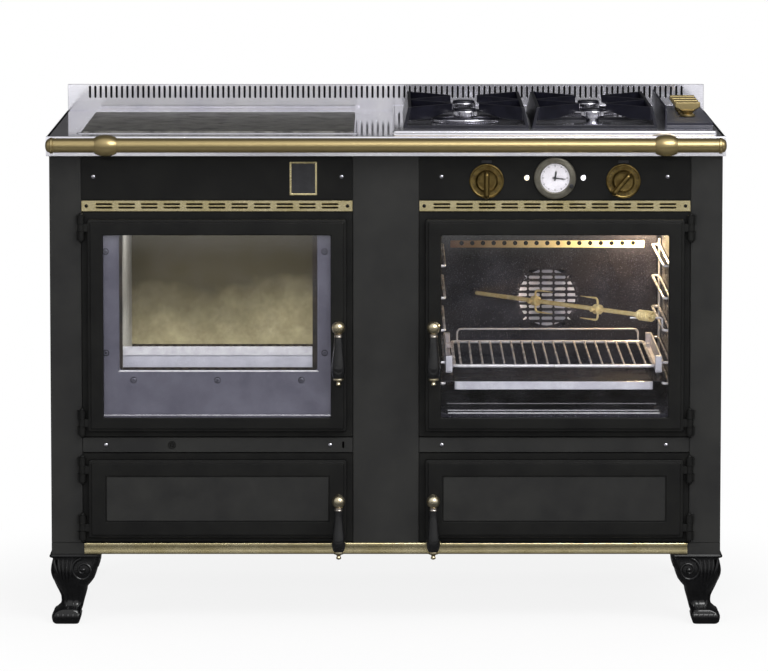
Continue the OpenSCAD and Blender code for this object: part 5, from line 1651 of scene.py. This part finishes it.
@dataclass(frozen=True)
class Controls:
    """Dial discs, oven knobs, lamps, framed plate, screws and the air disc."""

    knob_dx: float = 121.8
    dial_z: float = 799.5
    lamp_dx: float = 50.3
    lamp_z: float = 805.0
    badge: Rect = (-171.75, -122.75, 774, 834)
    skirt: int = 96
    # Each dial: its side and name, its marks, its knob's body, and how far that knob is turned
    dials: tuple[tuple[int, str, int, str, float], ...] = (
        (-1, "left", 9, "mode_knob", 0), (1, "right", 20, "heat_knob", 40)
    )

    def discs(self) -> None:
        """Builds the discs behind the oven knobs, with their rims and marks, and the switches behind."""
        rim = [
            (30.2, 0.1), (30.8, 0.8), (30.8, 2.6), (30, 3.6), (28.6, 3.9), (27.4, 3.3), (26.6, 3.2),
            (5, 3.2), (4.4, 3)
        ]
        half, z = 0.45, self.dial_z
        mark = [(-half, 23), (half, 23), (half, 26), (-half, 26)]
        for side, word, marks, _, _ in self.dials:
            x = BAY_MID + side * self.knob_dx
            form = Form().turned(rim, (x, PANEL_T, z), steps=72)
            form.block(
                (x - 9, PANEL_T - 1, z + 31.8), (x + 9, PANEL_T - 0.05, z + 37.2), soft=0.4, finish=1
            )
            for i in range(marks):
                form.plate((x, PANEL_T - 3, z), 30 + i * 300 / (marks - 1), mark, 0.45, finish=1)
            form.piece(f"{word}_dial_disc", Finishes.BRONZE, Finishes.INK, replaces="fascia_fittings")
            pot = Form().turned([(16.4, -15.2), (17, -16), (17, -32), (16, -33)], (x, PANEL_T, z), steps=36)
            pot.piece(f"{word}_switch", Finishes.GREY_STEEL)

    def fluted(self, x: float, radius: float, t: float, flute: float) -> list[Point]:
        """Returns one ring of a knob's skirt.

        Args:
            x: The knob's place across.
            radius: The ring's radius.
            t: Its depth.
            flute: How deep its flutes are.
        """
        points = []
        for i, (u, v) in enumerate(circle((0, 0), 1, self.skirt)):
            r = radius - flute * (0.5 - 0.5 * math.cos(24 * math.tau * i / self.skirt))
            points.append((x + r * u, t, self.dial_z + r * v))
        return points

    def knobs(self) -> None:
        """Builds the two oven knobs: fluted skirt, dished face and standing grip."""
        skirt = (
            (19.6, 7.7, 0), (20.4, 7, 0.9), (20.4, 3.6, 0.9), (19.6, 2.4, 0.5), (17.8, 0, 0),
            (16.6, -1.3, 0), (15, -1.2, 0), (13.5, -0.8, 0)
        )
        grip = (
            (1.5, 4.9, 0), (-6, 4.9, 0), (-11, 4.4, 1), (-14.4, 3.6, 3), (-16, 2.4, 5.4), (-16.3, 1.2, 7.4)
        )
        stripe = [(-0.6, 3), (0.6, 3), (0.6, 10.5), (-0.6, 10.5)]
        for side, word, _, body, turn in self.dials:
            x, z = BAY_MID + side * self.knob_dx, self.dial_z
            form = Form().loft([self.fluted(x, *level) for level in skirt])
            rings = []
            for depth, wide, cut in grip:
                loop = rounded((-wide, wide, cut - 31, 19 - cut), min(wide * 0.92, 4.5), 5)
                rings.append(clockwise((x, depth, z), turn, loop))
            form.loft(rings)
            form.turned([(4, -7.5), (4, -29)], (x, 0, z), steps=20)
            form.plate((x, -15.8, z), turn, stripe, 0.48, finish=1)
            form.piece(
                f"{word}_oven_knob", Finishes.BRONZE, Finishes.INK, body=body, replaces=f"oven_knob_{word}"
            )

    def lamps(self) -> None:
        """Builds the two lit lamps with their rims."""
        rims = Form()
        for (side, word), lit in zip(SIDES, (Finishes.LAMP_WARM, Finishes.LAMP_WHITE)):
            c = (BAY_MID + side * self.lamp_dx, PANEL_T, self.lamp_z)
            rims.turned([(5.2, 0), (5.5, 0.6), (5.2, 1.6), (4.4, 1.9), (4.2, 1.2)], c, steps=32)
            rims.turned([(4, -14.8), (4, -0.2)], c, steps=24)
            cap = Form().turned([(4.2, 0.8), (4.1, 1.8), (3.3, 2.5), (2, 2.9), (0, 3)], c, steps=32)
            cap.piece(f"{word}_lamp_cap", lit)
        rims.piece("lamp_rims", Finishes.CHROME)

    def plate(self) -> None:
        """Builds the framed plate on the left fascia."""
        frame_edge = [(0, 12), (0, 10.2), (0.5, 9.8), (2.9, 9.8), (3.4, 10.2), (3.5, 11)]
        form = Form().terrace(self.badge, frame_edge, 1)
        form.terrace(inset(self.badge, 3.4), [(0, 11.6), (0, 11.1), (0.3, 10.9)], 0.6, finish=1)
        form.piece("framed_plate", Finishes.PALE_BRASS, Finishes.INK)

    def screws(self) -> None:
        """Builds the chrome dome screws, and the dark ones at the ends of the vent strips."""
        bright, dark = Form(), Form()
        places = [(x, 807) for x in (-521.5, -79, 99, 502)]
        places += [(side * x, 325) for side, _ in SIDES for x in (100, 501.5)]
        for x, z in places:
            dome = [(3.7, 0), (4, 0.35), (3.75, 1.1), (2.9, 1.8), (1.6, 2.2), (0, 2.26)]
            bright.turned(dome, (x, PANEL_T, z), steps=24)
        for side, _ in SIDES:
            for x in (68.3, 534.2):
                dome = [(3, 0), (3.2, 0.3), (3, 0.9), (2.2, 1.5), (1.1, 1.78), (0, 1.8)]
                dark.turned(dome, (side * x, PANEL_T, 754.75), steps=20)
        bright.piece("dome_screws_chrome", Finishes.CHROME, replaces="panel_screws")
        dark.piece("dome_screws_black", Finishes.ZINC, replaces="panel_screws")

    def air(self) -> None:
        """Builds the air control's disc."""
        c = (-383.25, PANEL_T, 325)
        disc = [
            (6.4, 0.3), (7, 0.8), (7, 1.7), (6.4, 2.3), (4.4, 2.3), (3.4, 1.8), (2.9, 2.2), (2.4, 3.6),
            (1.4, 3.8)
        ]
        form = Form().turned(disc, c).turned([(3, -12), (3, -0.2)], c, steps=20)
        form.piece("air_disc_turned", Finishes.CASTING, body="air_disc", replaces="air_control")

    def build(self) -> None:
        """Builds everything on the fascias."""
        self.discs()
        self.knobs()
        self.lamps()
        self.plate()
        self.screws()
        self.air()


@dataclass(frozen=True)
class Clock:
    """The clock: stepped case, pale dial with minute marks, two hands, glass and setting knob."""

    centre: Point = (BAY_MID, PANEL_T, 805)
    setter: Point = (BAY_MID + 29, PANEL_T, 791)
    case: tuple[Flat, ...] = (
        (36.8, 0.05), (37.5, 0.8), (37.5, 4.8), (36.6, 6.2), (34.6, 7.3), (33, 7.5), (31.4, 8), (29.6, 8.7),
        (27.6, 8.7), (26.4, 8.2), (26, 7.5), (26, 2.1), (2.95, 2.1), (2.95, -19.5), (22, -29.5),
        (23, -28.5), (23, -0.2)
    )

    def hand(self, length: float, wide: float, depth: float, angle: float) -> Form:
        """Makes a tapered hand at an angle clockwise from twelve.

        Args:
            length: The hand's length.
            wide: Its width.
            depth: Its back face.
            angle: Where it points, in degrees.

        Returns:
            A form with the hand and its hub.
        """
        c = (self.centre[0], depth, self.centre[2])
        outline = [
            (-wide / 2, -5), (wide / 2, -5), (wide * 0.62, length * 0.7), (0, length),
            (-wide * 0.62, length * 0.7)
        ]
        form = Form().plate(c, angle, outline, 0.8, soft=0.15, steps=1)
        return form.turned([(2.6, 0), (2.6, 0.8), (1.8, 1.2)], c, steps=24)

    def face(self) -> Form:
        """Makes the dial with its sixty marks.

        Returns:
            A form with the dial and the marks.
        """
        x, t, z = self.centre
        form = Form().turned(
            [(25.9, 2.1), (25.9, 2.4), (3, 2.4), (3, 2.1)], self.centre, steps=64, shut=True
        )
        for i in range(60):
            foot = 20.0 if i % 15 == 0 else 21.0 if i % 5 == 0 else 22.4
            half = 0.62 if i % 5 == 0 else 0.22
            mark = [(-half, foot), (half, foot), (half, 23.6), (-half, 23.6)]
            form.plate((x, t - 2.3, z), 6 * i, mark, 0.2, finish=1)
        return form

    def build(self) -> None:
        """Builds the case, dial, marks, hands, glass and knob."""
        c = self.centre
        case = Form().turned(self.case, c, steps=72, shut=True)
        case.piece("clock_case", Finishes.GREY_BRONZE, replaces="clock")
        self.face().piece("clock_dial", Finishes.DIAL, Finishes.INK)
        glass = Form().turned([(25.9, 7.6), (25.9, 8), (24.8, 8.4), (12, 8.6), (0, 8.64)], c, steps=64)
        glass.piece("clock_glass", Finishes.CLOCK_GLASS)
        hour = self.hand(14, 2.6, 8.2, 8).turned([(2.6, -16), (2.6, 3.8)], c, steps=24)
        hour.piece("clock_hour_hand_black", Finishes.INK, body="hour_hand", replaces="clock_hour_hand")
        minute = self.hand(20, 1.9, 6.3, 96).turned([(1.2, -19), (1.2, 5.8)], c, steps=20)
        minute.piece(
            "clock_minute_hand_black", Finishes.INK, body="minute_hand", replaces="clock_minute_hand"
        )
        stem = [(1.5, 2.4), (1.5, 9), (3.6, 9), (4, 9.5), (4, 12.9), (3.5, 13.7), (2.2, 14)]
        knob = Form().turned(stem, self.setter, steps=28)
        knob.piece("clock_setter_turned", Finishes.INK, body="clock_knob", replaces="clock_setter")


# ---- oven and fire -------------------------------------------------------------------------


@dataclass(frozen=True)
class Oven:
    """The oven's inside: rounded enamel cavity, slotted cover, racks, shelf, tray and spit."""

    half: float = 212.0
    floor: float = 380.5
    top: float = 714.5
    back: float = 480.0
    lip: Rect = (74, 528.5, 355, 728.5)
    cover: float = 454.0
    fan_z: float = 543.5
    lamp_z: float = 646.0
    shelf: float = 464.5
    rack: float = 208.0
    rack_ends: Flat = (42, 442)
    rungs: tuple[float, ...] = (52, 90, 148, 206, 264)
    shelf_ends: Flat = (40, 420)
    shelf_half: float = 178.5
    tray_half: float = 180.5
    spit_from: Point = (479.25, 36, 553.5)
    spit_to: Point = (161.25, 454, 553.5)

    def cavity(self) -> None:
        """Builds the liner, a rounded box open to the front with a flange, and the beads of its floor."""
        x0, x1, back = BAY_MID - self.half, BAY_MID + self.half, self.back
        rect = (x0, x1, self.floor, self.top)
        outer, shaft = inset(rect, -2), around((BAY_MID, self.fan_z), (4.3, 4.3))
        levels = (
            (self.lip, 22, 3), (self.lip, 20.3, 3), (inset(rect, -1.5), 20.3, 24), (rect, 21.5, 22),
            (rect, back - 8, 22), (inset(rect, 2.4), back - 2.4, 20), (inset(rect, 8), back, 14),
            (shaft, back, 4.2), (shaft, back + 2, 4.2), (outer, back + 2, 24), (outer, 22, 24)
        )
        form = Form().loft(
            [Facing.FRONT.ring(rounded(r, corner, 8), t) for r, t, corner in levels], shut=True
        )
        form.piece("oven_cavity", Finishes.OVEN, replaces="oven_liner")
        beads = Form()
        for t0, t1, tall in ((20.6, 23.6, 2), (66, 67.6, 0.9), (165, 166, 0.8)):
            beads.block((x0 + 22, t0, self.floor - 0.2), (x1 - 22, t1, self.floor + tall), soft=0.25)
        beads.piece("oven_floor_beads", Finishes.WIRE)

    def slots(self) -> list[list[Flat]]:
        """Returns the slots over the fan, in rows cut to a round field."""
        pitch, column, reach, field = 11, 24, 10.4, 60
        holes = []
        for row in range(10):
            dz = (row - 4.5) * pitch
            half = math.sqrt(field * field - dz * dz)
            for slot in range(-2, 3):
                low, high = max(slot * column - reach, -half), min(slot * column + reach, half)
                if high - low > 6.5:
                    z = self.fan_z + dz
                    holes.append(rounded((BAY_MID + low, BAY_MID + high, z - 2.9, z + 2.9), 2.8))
        return holes

    def guard(self) -> None:
        """Builds the false back with its slots and its row of holes, a glowing strip round the holes that is
        painted lamplight, and a black well behind them that is painted shade.
        """
        x0, x1 = BAY_MID - self.half + 8, BAY_MID + self.half - 8
        z0, z1, cover = self.floor + 8, self.top - 30, self.cover
        row = [circle((BAY_MID + (i - 8) * 20, self.lamp_z), 4.2, 20) for i in range(17)]
        form = Form().sheet(
            rounded((x0, x1, z0, z1), 14), self.slots() + row, Facing.FRONT, cover, cover + 1.5, soft=0.3
        )
        for x in (x0, x1 - 1.5):
            form.block((x, cover + 1.2, z0 + 14), (x + 1.5, self.back - 0.5, z1 - 14), soft=0.2)
        way = (Vector(self.spit_to) - Vector(self.spit_from)).normalized()
        socket = [(5, -9.8), (8.4, -10), (9, -9.2), (9, -0.8), (8.4, 0)]
        form.turned(socket, tuple(Vector(self.spit_to) - way * 4), tuple(way), 32)
        form.piece("fan_guard", Finishes.OVEN, replaces="fan_cover")
        # A glowing strip on the cover's face round the holes: painted lamplight
        left, right, low, high = BAY_MID - 181, BAY_MID + 181, self.lamp_z - 8.4, self.lamp_z + 4.8
        strip = rounded((left, right, low, high), 0.8, 2)
        lit = Form().sheet(strip, row, Facing.FRONT, cover - 0.9, cover - 0.05, soft=0.2)
        lit.piece("painted_lamplight_strip", Finishes.OVEN_GLOW)
        # A black well behind the row of holes: painted shade
        well = Form().block((left, cover + 2, low), (right, cover + 2.6, high), soft=0.1)
        well.piece("painted_shade_lamp_well", Finishes.SHADE)

    def racks(self) -> None:
        """Builds the side ladders of bent wire, the telescopic runners and the spit's rest."""
        form = Form()
        wire = 2.5
        t0, t1 = self.rack_ends
        mid = (t0 + t1) / 2
        # Each runner's blocks: distances in from the ladder, depths, heights over the shelf, rounding
        blocks = (
            (26, 14, 38, 422, -12, -7.5, 1.2), (26, 14, 38, 55, -12, 18, 1.6),
            (26, 14, 403, 422, -12, 18, 1.6), (14, 17, 50, 410, -10, 17.6, 0.8),
            (14.4, 12, 48, 62, 2, 9, 0.5), (14.4, 12, 392, 406, 2, 9, 0.5)
        )
        for side, _ in SIDES:
            x, inner = (BAY_MID + side * (self.rack - by) for by in (0, 12))
            for t in (t0 + 10, t1 - 10):
                form.tube([(x, t, self.floor + 1), (x, t, self.floor + self.rungs[-1] + 12)], wire, 12)
            for rung in self.rungs:
                z = self.floor + rung
                loop = [
                    (x, mid, z), (x, t0 - 1, z), (inner, t0 - 1, z), (inner, t1 + 1, z), (x, t1 + 1, z),
                    (x, mid + 1, z)
                ]
                form.tube(bent(loop, 6), wire, 12)
            for in0, in1, b0, b1, low, high, soft in blocks:
                a, b = (BAY_MID + side * (self.rack - by) for by in (in0, in1))
                form.block((a, b0, self.shelf + low), (b, b1, self.shelf + high), soft=soft, finish=1)
        x, z = BAY_MID + self.rack - 12, self.spit_from[2] - 6.3
        form.tube(bent([(x, 76, self.floor + 148), (x, 76, z), (x - 58, 76, z)], 5), 2, 10)
        form.piece("side_racks_wire", Finishes.WIRE, Finishes.PALE_STEEL, replaces="side_racks")

    def wire_shelf(self) -> None:
        """Builds the wire shelf with its rear guard."""
        form = Form()
        half, z, count = self.shelf_half, self.shelf, 18
        t0, t1 = self.shelf_ends
        x0, x1 = BAY_MID - half, BAY_MID + half
        for i in range(count):
            x = BAY_MID + (2 * i / (count - 1) - 1) * (half - 12)
            form.tube([(x, t0 - 0.4, z - 0.5), (x, t1, z)], 2, 10)
        loop = [(BAY_MID, t0, z), (x0, t0, z), (x0, t1, z), (x1, t1, z), (x1, t0, z), (BAY_MID + 1, t0, z)]
        form.tube(bent(loop, 9), 3, 12)
        hoop = [(x0 + 10, t1, z), (x0 + 10, t1, z + 24), (x1 - 10, t1, z + 24), (x1 - 10, t1, z)]
        form.tube(bent(hoop, 9), 2, 10)
        for t in (t0 + 22, t1 - 44):
            for side, _ in SIDES:
                a, b = BAY_MID + side * (half + 1), BAY_MID + side * (self.rack - 19)
                form.block((a, t, z - 6), (b, t + 12, z + 2), soft=0.7)
        form.piece("shelf_wires", Finishes.WIRE, replaces="oven_shelf")

    def tray(self) -> None:
        """Builds the drip tray with a rolled rim and soft corners, its front faces in pale steel as a painted
        highlight.
        """
        rest, half = self.floor + 54.5, self.tray_half
        profile = [(2, -14), (0.4, -13.2), (0, 1.2), (1.5, 1.5), (1.6, 1), (1.6, -11.5), (3, -12.5)]
        rect = (BAY_MID - half, BAY_MID + half, 40, 422)
        form = Form().terrace(rect, [(by, rest + z) for by, z in profile], 9, Facing.TOP)
        for side, _ in SIDES:
            a, b = BAY_MID + side * (half - 0.4), BAY_MID + side * (self.rack - 6)
            form.block((a, 44, rest), (b, 418, rest + 1.5), soft=0.5)
        # The front-facing faces of the lip wear pale steel: a painted highlight
        for face in form.mesh.faces:
            if face.normal.y < -0.5 and face.calc_center_median().y < 43:
                face.material_index = 1
        form.piece("drip_tray_pressed", Finishes.OVEN, Finishes.PALE_STEEL, replaces="drip_tray")

    def spit(self) -> None:
        """Builds the spit with its coiled grip and two clamped forks."""
        start, end = Vector(self.spit_from), Vector(self.spit_to)
        way, length = (end - start).normalized(), (end - start).length
        flat, up = Vector((-way.y, way.x, 0)), Vector(UP)
        form = Form().turned([(3.4, 0), (4, 0.6), (4, length - 6), (2.6, length - 3.2)], start, way, 20)
        turns, steps, radius = 6.5, 130, 7.6
        coil = []
        for i in range(steps + 1):
            a = math.tau * turns * i / steps
            out = (flat * math.cos(a) + up * math.sin(a)) * radius
            coil.append(start + way * (3 + 36 * i / steps) + out)
        form.tube(coil, 2.3, 8)
        form.turned([(4, 40), (7.5, 41), (7.5, 43), (4.2, 44.5)], start, way, 24)
        for along, point in ((150, 50), (330, -50)):
            form.turned([(7, along), (9, along + 1), (9, along + 13), (7, along + 14)], start, way, 28)
            hub = start + way * (along + 7)
            form.turned([(2, 7), (2, 13), (4.2, 13.4), (4.2, 15.6), (3.4, 16.4)], hub, flat, 20)
            for sign in (-1, 1):
                path = bent(
                    [hub + up * (sign * 4), hub + up * (sign * 20), hub + up * (sign * 20) + way * point], 9
                )
                form.tube(path, [2] * (len(path) - 1) + [0.5], 10)
        form.piece("spit_forged", Finishes.SPIT, body="rotisserie", replaces="spit")

    def build(self) -> None:
        """Builds the oven's inside."""
        self.cavity()
        self.guard()
        self.racks()
        self.wire_shelf()
        self.tray()
        self.spit()


@dataclass(frozen=True)
class Fire:
    """The fire chamber: lining boards, grate bars and the log guard; drawn for the right bay."""

    half: float = 170.0
    lining: float = 30.0
    floor: float = 361.0
    top: float = 743.5
    front: float = 25.0
    back: float = 420.0
    grate: float = 464.0
    flue: Point = (BAY_MID, 745, 71)
    guard_high: float = 37.0

    def boards(self) -> None:
        """Builds the boards, with eased joints and the smoke way through the rear one."""
        x0, x1 = BAY_MID - self.half - self.lining, BAY_MID + self.half + self.lining
        x, z, radius = self.flue
        arch = sorted((p for p in circle((x, z), radius, 72) if p[1] < self.top - 0.5), reverse=True)
        outline = [
            (x0, self.floor), (x1, self.floor), (x1, self.top), (arch[0][0], self.top), *arch,
            (arch[-1][0], self.top), (x0, self.top)
        ]
        rear = Form().prism(outline, Facing.FRONT, self.back - self.lining, self.back)
        rear.on(-1).piece("rear_fire_board", Finishes.LINING, replaces="fire_lining")
        sides = Form()
        for a, b in ((x0, x0 + self.lining), (x1 - self.lining, x1)):
            sides.block((a, self.front, self.floor), (b, self.back - self.lining - 0.4, self.top), soft=1.8)
        sides.on(-1).piece("side_fire_boards", Finishes.SIDE_LINING, replaces="fire_lining")

    def grate_bars(self) -> None:
        """Builds the grate, its feet and the ash pan."""
        x0, x1 = BAY_MID - self.half, BAY_MID + self.half
        t0, t1, low, high = self.front + 2, self.back - self.lining, self.grate - 12, self.grate
        form = Form()
        for t in (t0, t1 - 8):
            form.block((x0, t, low), (x1, t + 8, high), soft=1.2)
        for i in range(21):
            a = x0 + 8 + 16 * i
            form.block((a, t0, low), (min(a + 8, x1), t1, high - 0.2), soft=1.2)
        for a in (x0, x1 - 12):
            form.block((a, t0, self.floor), (a + 12, t1, low + 0.1), soft=1.5)
        pan = [(1, 0), (0, 1), (0, 59), (0.8, 60), (2, 59.6), (2, 2.5), (4, 2)]
        form.terrace(
            (x0 + 16, x1 - 16, t0 + 6, t1 - 20), [(by, self.floor + z) for by, z in pan], 6, Facing.TOP
        )
        form.on(-1).piece("grate_bars", Finishes.RAW_IRON, replaces="fire_grate")

    def guard(self) -> None:
        """Builds the log guard with its rolled top, which logs have polished."""
        t, top, foot = self.front + 2, self.grate + self.guard_high, self.grate - 0.4
        section = [
            (t + 0.1, foot), (t + 4, foot), (t + 4, top - 1), (t + 3, top), (t - 3, top), (t - 4, top - 1),
            (t - 4, top - 15), (t - 3.2, top - 16), (t + 0.1, top - 16)
        ]
        half = self.half - 0.5
        form = Form().prism(section, Facing.SIDE, BAY_MID - half, BAY_MID + half)
        for face in form.mesh.faces:
            if face.calc_center_median().z > top - 15.5:
                face.material_index = 1
        form.on(-1).piece("log_guard", Finishes.GUARD, Finishes.WIRE)

    def build(self) -> None:
        """Builds the chamber."""
        self.boards()
        self.grate_bars()
        self.guard()


# ---- carried-over nodes and the studio ------------------------------------------------------

# The lower liners wear the flat black that is painted shade
CARRIED: dict[str, Finishes] = {
    "base_frame": Finishes.PANEL, "outer_panels": Finishes.PANEL, "fascias": Finishes.FASCIA,
    "hinges": Finishes.CASTING, "gas_rail": Finishes.AGED_BRASS, "fan_wheel": Finishes.PALE_STEEL,
    "fan_motor": Finishes.GREY_STEEL, "firebox_shell": Finishes.RAW_IRON, "flue_outlet": Finishes.RAW_IRON,
    "lower_liners": Finishes.SHADE
}


def dress_nodes(nodes: dict[str, bpy.types.Object]) -> None:
    """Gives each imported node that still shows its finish.

    Args:
        nodes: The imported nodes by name.
    """
    for name, finish in CARRIED.items():
        materials = nodes[name].data.materials
        materials.clear()
        materials.append(finish.value.material())
        log.info("%s keeps its packed shape in %s", name, finish.value.name)


@dataclass(frozen=True)
class Studio:
    """The photograph's camera, a white floor that keeps the shadow, and soft lamps."""

    lens: float = 253.95
    sensor: float = 36.0
    stand: Point = (-3.44, -9610.9, 1612.3)
    tilt: float = 6.462
    ambient: float = 0.42
    floor_reach: float = 60.0
    # Studio lamps: name, place and aim in metres, size, watts, and whether gloss shows the lamp itself
    soft: tuple[tuple, ...] = (
        ("key", (1.7, -3.2, 3), (0.1, 0, 0.7), (3, 1.8), 110, True),
        ("fill", (-3, -3.6, 2.2), (0, 0, 0.5), (1.8, 2.2), 40, False),
        ("front", (-0.6, -11, 2.9), (0, 0, 0.5), (3, 1.6), 700, False),
        ("chamber_fill", at((-301, 70, 728)), at((-301, 390, 470)), (0.26, 0.05), 1, False)
    )
    # Small lamps: name, place in millimetres, watts, colour and radius in metres
    bulbs: tuple[tuple, ...] = (
        ("fan_bulb_1", (217.25, 459.5, 543.5), 0.8, (1, 0.86, 0.62), 0.004),
        ("fan_bulb_3", (385.25, 459.5, 543.5), 0.8, (1, 0.86, 0.62), 0.004),
        ("oven_bulb", (475, 400, 690), 3.6, (1, 0.74, 0.4), 0.02)
    )
    # The floor's levels for gloss: steps towards the camera, then steps from left to right.
    # Each step has where it starts and ends, in metres from the cooker's middle, and its levels there.
    under: tuple[Flat, Flat] = ((1, 1.13), (-0.46, 0))
    trim: tuple[Flat, Flat] = ((1.25, 1.4), (0.55, 0.1))
    rise: tuple[Flat, Flat] = ((6.9, 8), (0, 0.6))
    fall: tuple[Flat, Flat] = ((8.9, 9.9), (0, -0.38))
    beyond: tuple[Flat, Flat] = ((11.5, 11.9), (0, 1))
    left: tuple[Flat, Flat] = ((-1.1, -0.4), (0.68, 0))
    right: tuple[Flat, Flat] = ((-0.36, 0.02), (0, 0.6))

    def hang(self, name: str, data: bpy.types.ID, place: Point) -> bpy.types.Object:
        """Puts a camera or lamp into the scene at a place in metres, and returns its object."""
        thing = bpy.data.objects.new(name, data)
        thing.location = place
        bpy.context.scene.collection.objects.link(thing)
        return thing

    def camera(self) -> None:
        """Places the camera, level across and tilted down."""
        data = bpy.data.cameras.new("camera")
        data.lens = self.lens
        data.sensor_width = self.sensor
        data.clip_end = 200.0
        view = self.hang("camera", data, at(self.stand))
        view.rotation_euler = (math.radians(90 - self.tilt), 0, 0)
        bpy.context.scene.camera = view

    def lamps(self) -> None:
        """Hangs the studio lamps, the warm one inside the oven and the pale ones behind its cover."""
        for name, place, aim, size, power, glint in self.soft:
            data = bpy.data.lights.new(name, "AREA")
            data.shape = "RECTANGLE"
            data.size, data.size_y = size
            data.energy = power
            lamp = self.hang(name, data, place)
            lamp.visible_glossy = glint
            lamp.rotation_euler = (Vector(aim) - Vector(place)).to_track_quat("-Z", "Y").to_euler()
        for name, place, power, colour, size in self.bulbs:
            data = bpy.data.lights.new(name, "POINT")
            data.energy = power
            data.color = colour
            data.shadow_soft_size = size
            self.hang(name, data, at(place))

    def world(self) -> None:
        """Makes the world plain light: white to the camera, a lit front and a dark rear to gloss."""
        world = bpy.data.worlds.new("studio")
        nodes = Nodes(world)
        bpy.context.scene.world = world
        seen, glossy = nodes.seen()
        way = nodes.add("TexCoord").outputs["Generated"]
        ahead = nodes.remap(nodes.axis(way, "Y"), (-0.02, -0.26), (0.07, 1), soft=True)
        across = nodes.remap(nodes.axis(way, "X"), (-0.7, 0.3), (0.62, 1))
        high = nodes.remap(nodes.axis(way, "Z"), (0.02, 0.34), (0.35, 1))
        level = nodes.maths("MULTIPLY", nodes.maths("MULTIPLY", ahead, across), high)
        room = nodes.light("Background", level)
        lit = nodes.mix(glossy, nodes.light("Background", self.ambient), room)
        nodes.add("OutputWorld", {"Surface": nodes.mix(seen, lit, nodes.light("Background", 1))})

    def gloss_level(self, nodes: Nodes, place: Socket) -> Socket:
        """Sums the floor's steps into how bright gloss sees each place.

        Args:
            nodes: The floor's nodes.
            place: Its coordinates.

        Returns:
            The level.
        """
        ahead = nodes.maths("MULTIPLY", nodes.axis(place, "Y"), -1)
        across = nodes.axis(place, "X")
        under, trim, rise, fall, beyond = (
            nodes.remap(ahead, *step, soft=True)
            for step in (self.under, self.trim, self.rise, self.fall, self.beyond)
        )
        left, right = (nodes.remap(across, *step, soft=True) for step in (self.left, self.right))
        near = nodes.maths("ADD", nodes.maths("ADD", trim, under), nodes.maths("ADD", rise, fall))
        return nodes.maths("ADD", near, nodes.maths("MULTIPLY", beyond, nodes.maths("ADD", left, right)))

    def floor(self) -> None:
        """Lays a wide pale floor that is white beyond the object's own shadow."""
        mesh = bpy.data.meshes.new("floor")
        r = self.floor_reach
        mesh.from_pydata([(-r, -r, 0), (r, -r, 0), (r, r, 0), (-r, r, 0)], [], [(0, 1, 2, 3)])
        floor = bpy.data.objects.new("floor", mesh)
        bpy.context.scene.collection.objects.link(floor)
        material = bpy.data.materials.new("white_vinyl_floor")
        nodes = Nodes(material)
        place = nodes.place()
        length = nodes.add("VectorMath", {0: place}, operation="LENGTH").outputs["Value"]
        far = nodes.remap(length, (0.6, 1.15), (0.86, 1), soft=True)
        seen, glossy = nodes.seen()
        matt = nodes.add("BsdfDiffuse", {"Color": linear("#f2f2f2")}).outputs[0]
        plain = nodes.mix(nodes.maths("MULTIPLY", seen, far), matt, nodes.light("Emission", 1))
        gloss = nodes.light("Emission", self.gloss_level(nodes, place))
        nodes.add("OutputMaterial", {"Surface": nodes.mix(glossy, plain, gloss)})
        mesh.materials.append(material)

    def build(self) -> None:
        """Sets up camera, lamps, world and floor."""
        self.camera()
        self.lamps()
        self.world()
        self.floor()
        bpy.context.scene.view_settings.view_transform = "Standard"


def main() -> None:
    """Builds the studio and every sub-assembly in order, then gives the carried-over nodes their finishes."""
    logging.basicConfig(level=logging.INFO, format="%(name)s: %(message)s")
    Studio().build()
    Cabinet().build()
    Leg().build()
    GlazedDoor("fire_door", UPPER, -1, 7).build()
    GlazedDoor("oven_door", UPPER, 1, 7).build()
    FlatDoor("wood_door", LOWER, -1, 4).build()
    FlatDoor("store_door", LOWER, 1, 4).build()
    FireFrame().build()
    for z, doors in (
        (HANDLE_UPPER, ("fire_door", "oven_door")), (HANDLE_LOWER, ("wood_door", "store_door"))
    ):
        for (side, _), door in zip(SIDES, doors):
            Handle(door, side, z).build()
    Worktop().build()
    Hotplate().build()
    GasHob().build()
    Rail().build()
    Controls().build()
    Clock().build()
    Oven().build()
    Fire().build()
    dress_nodes(frame["nodes"])


if __name__ == "__main__":
    main()
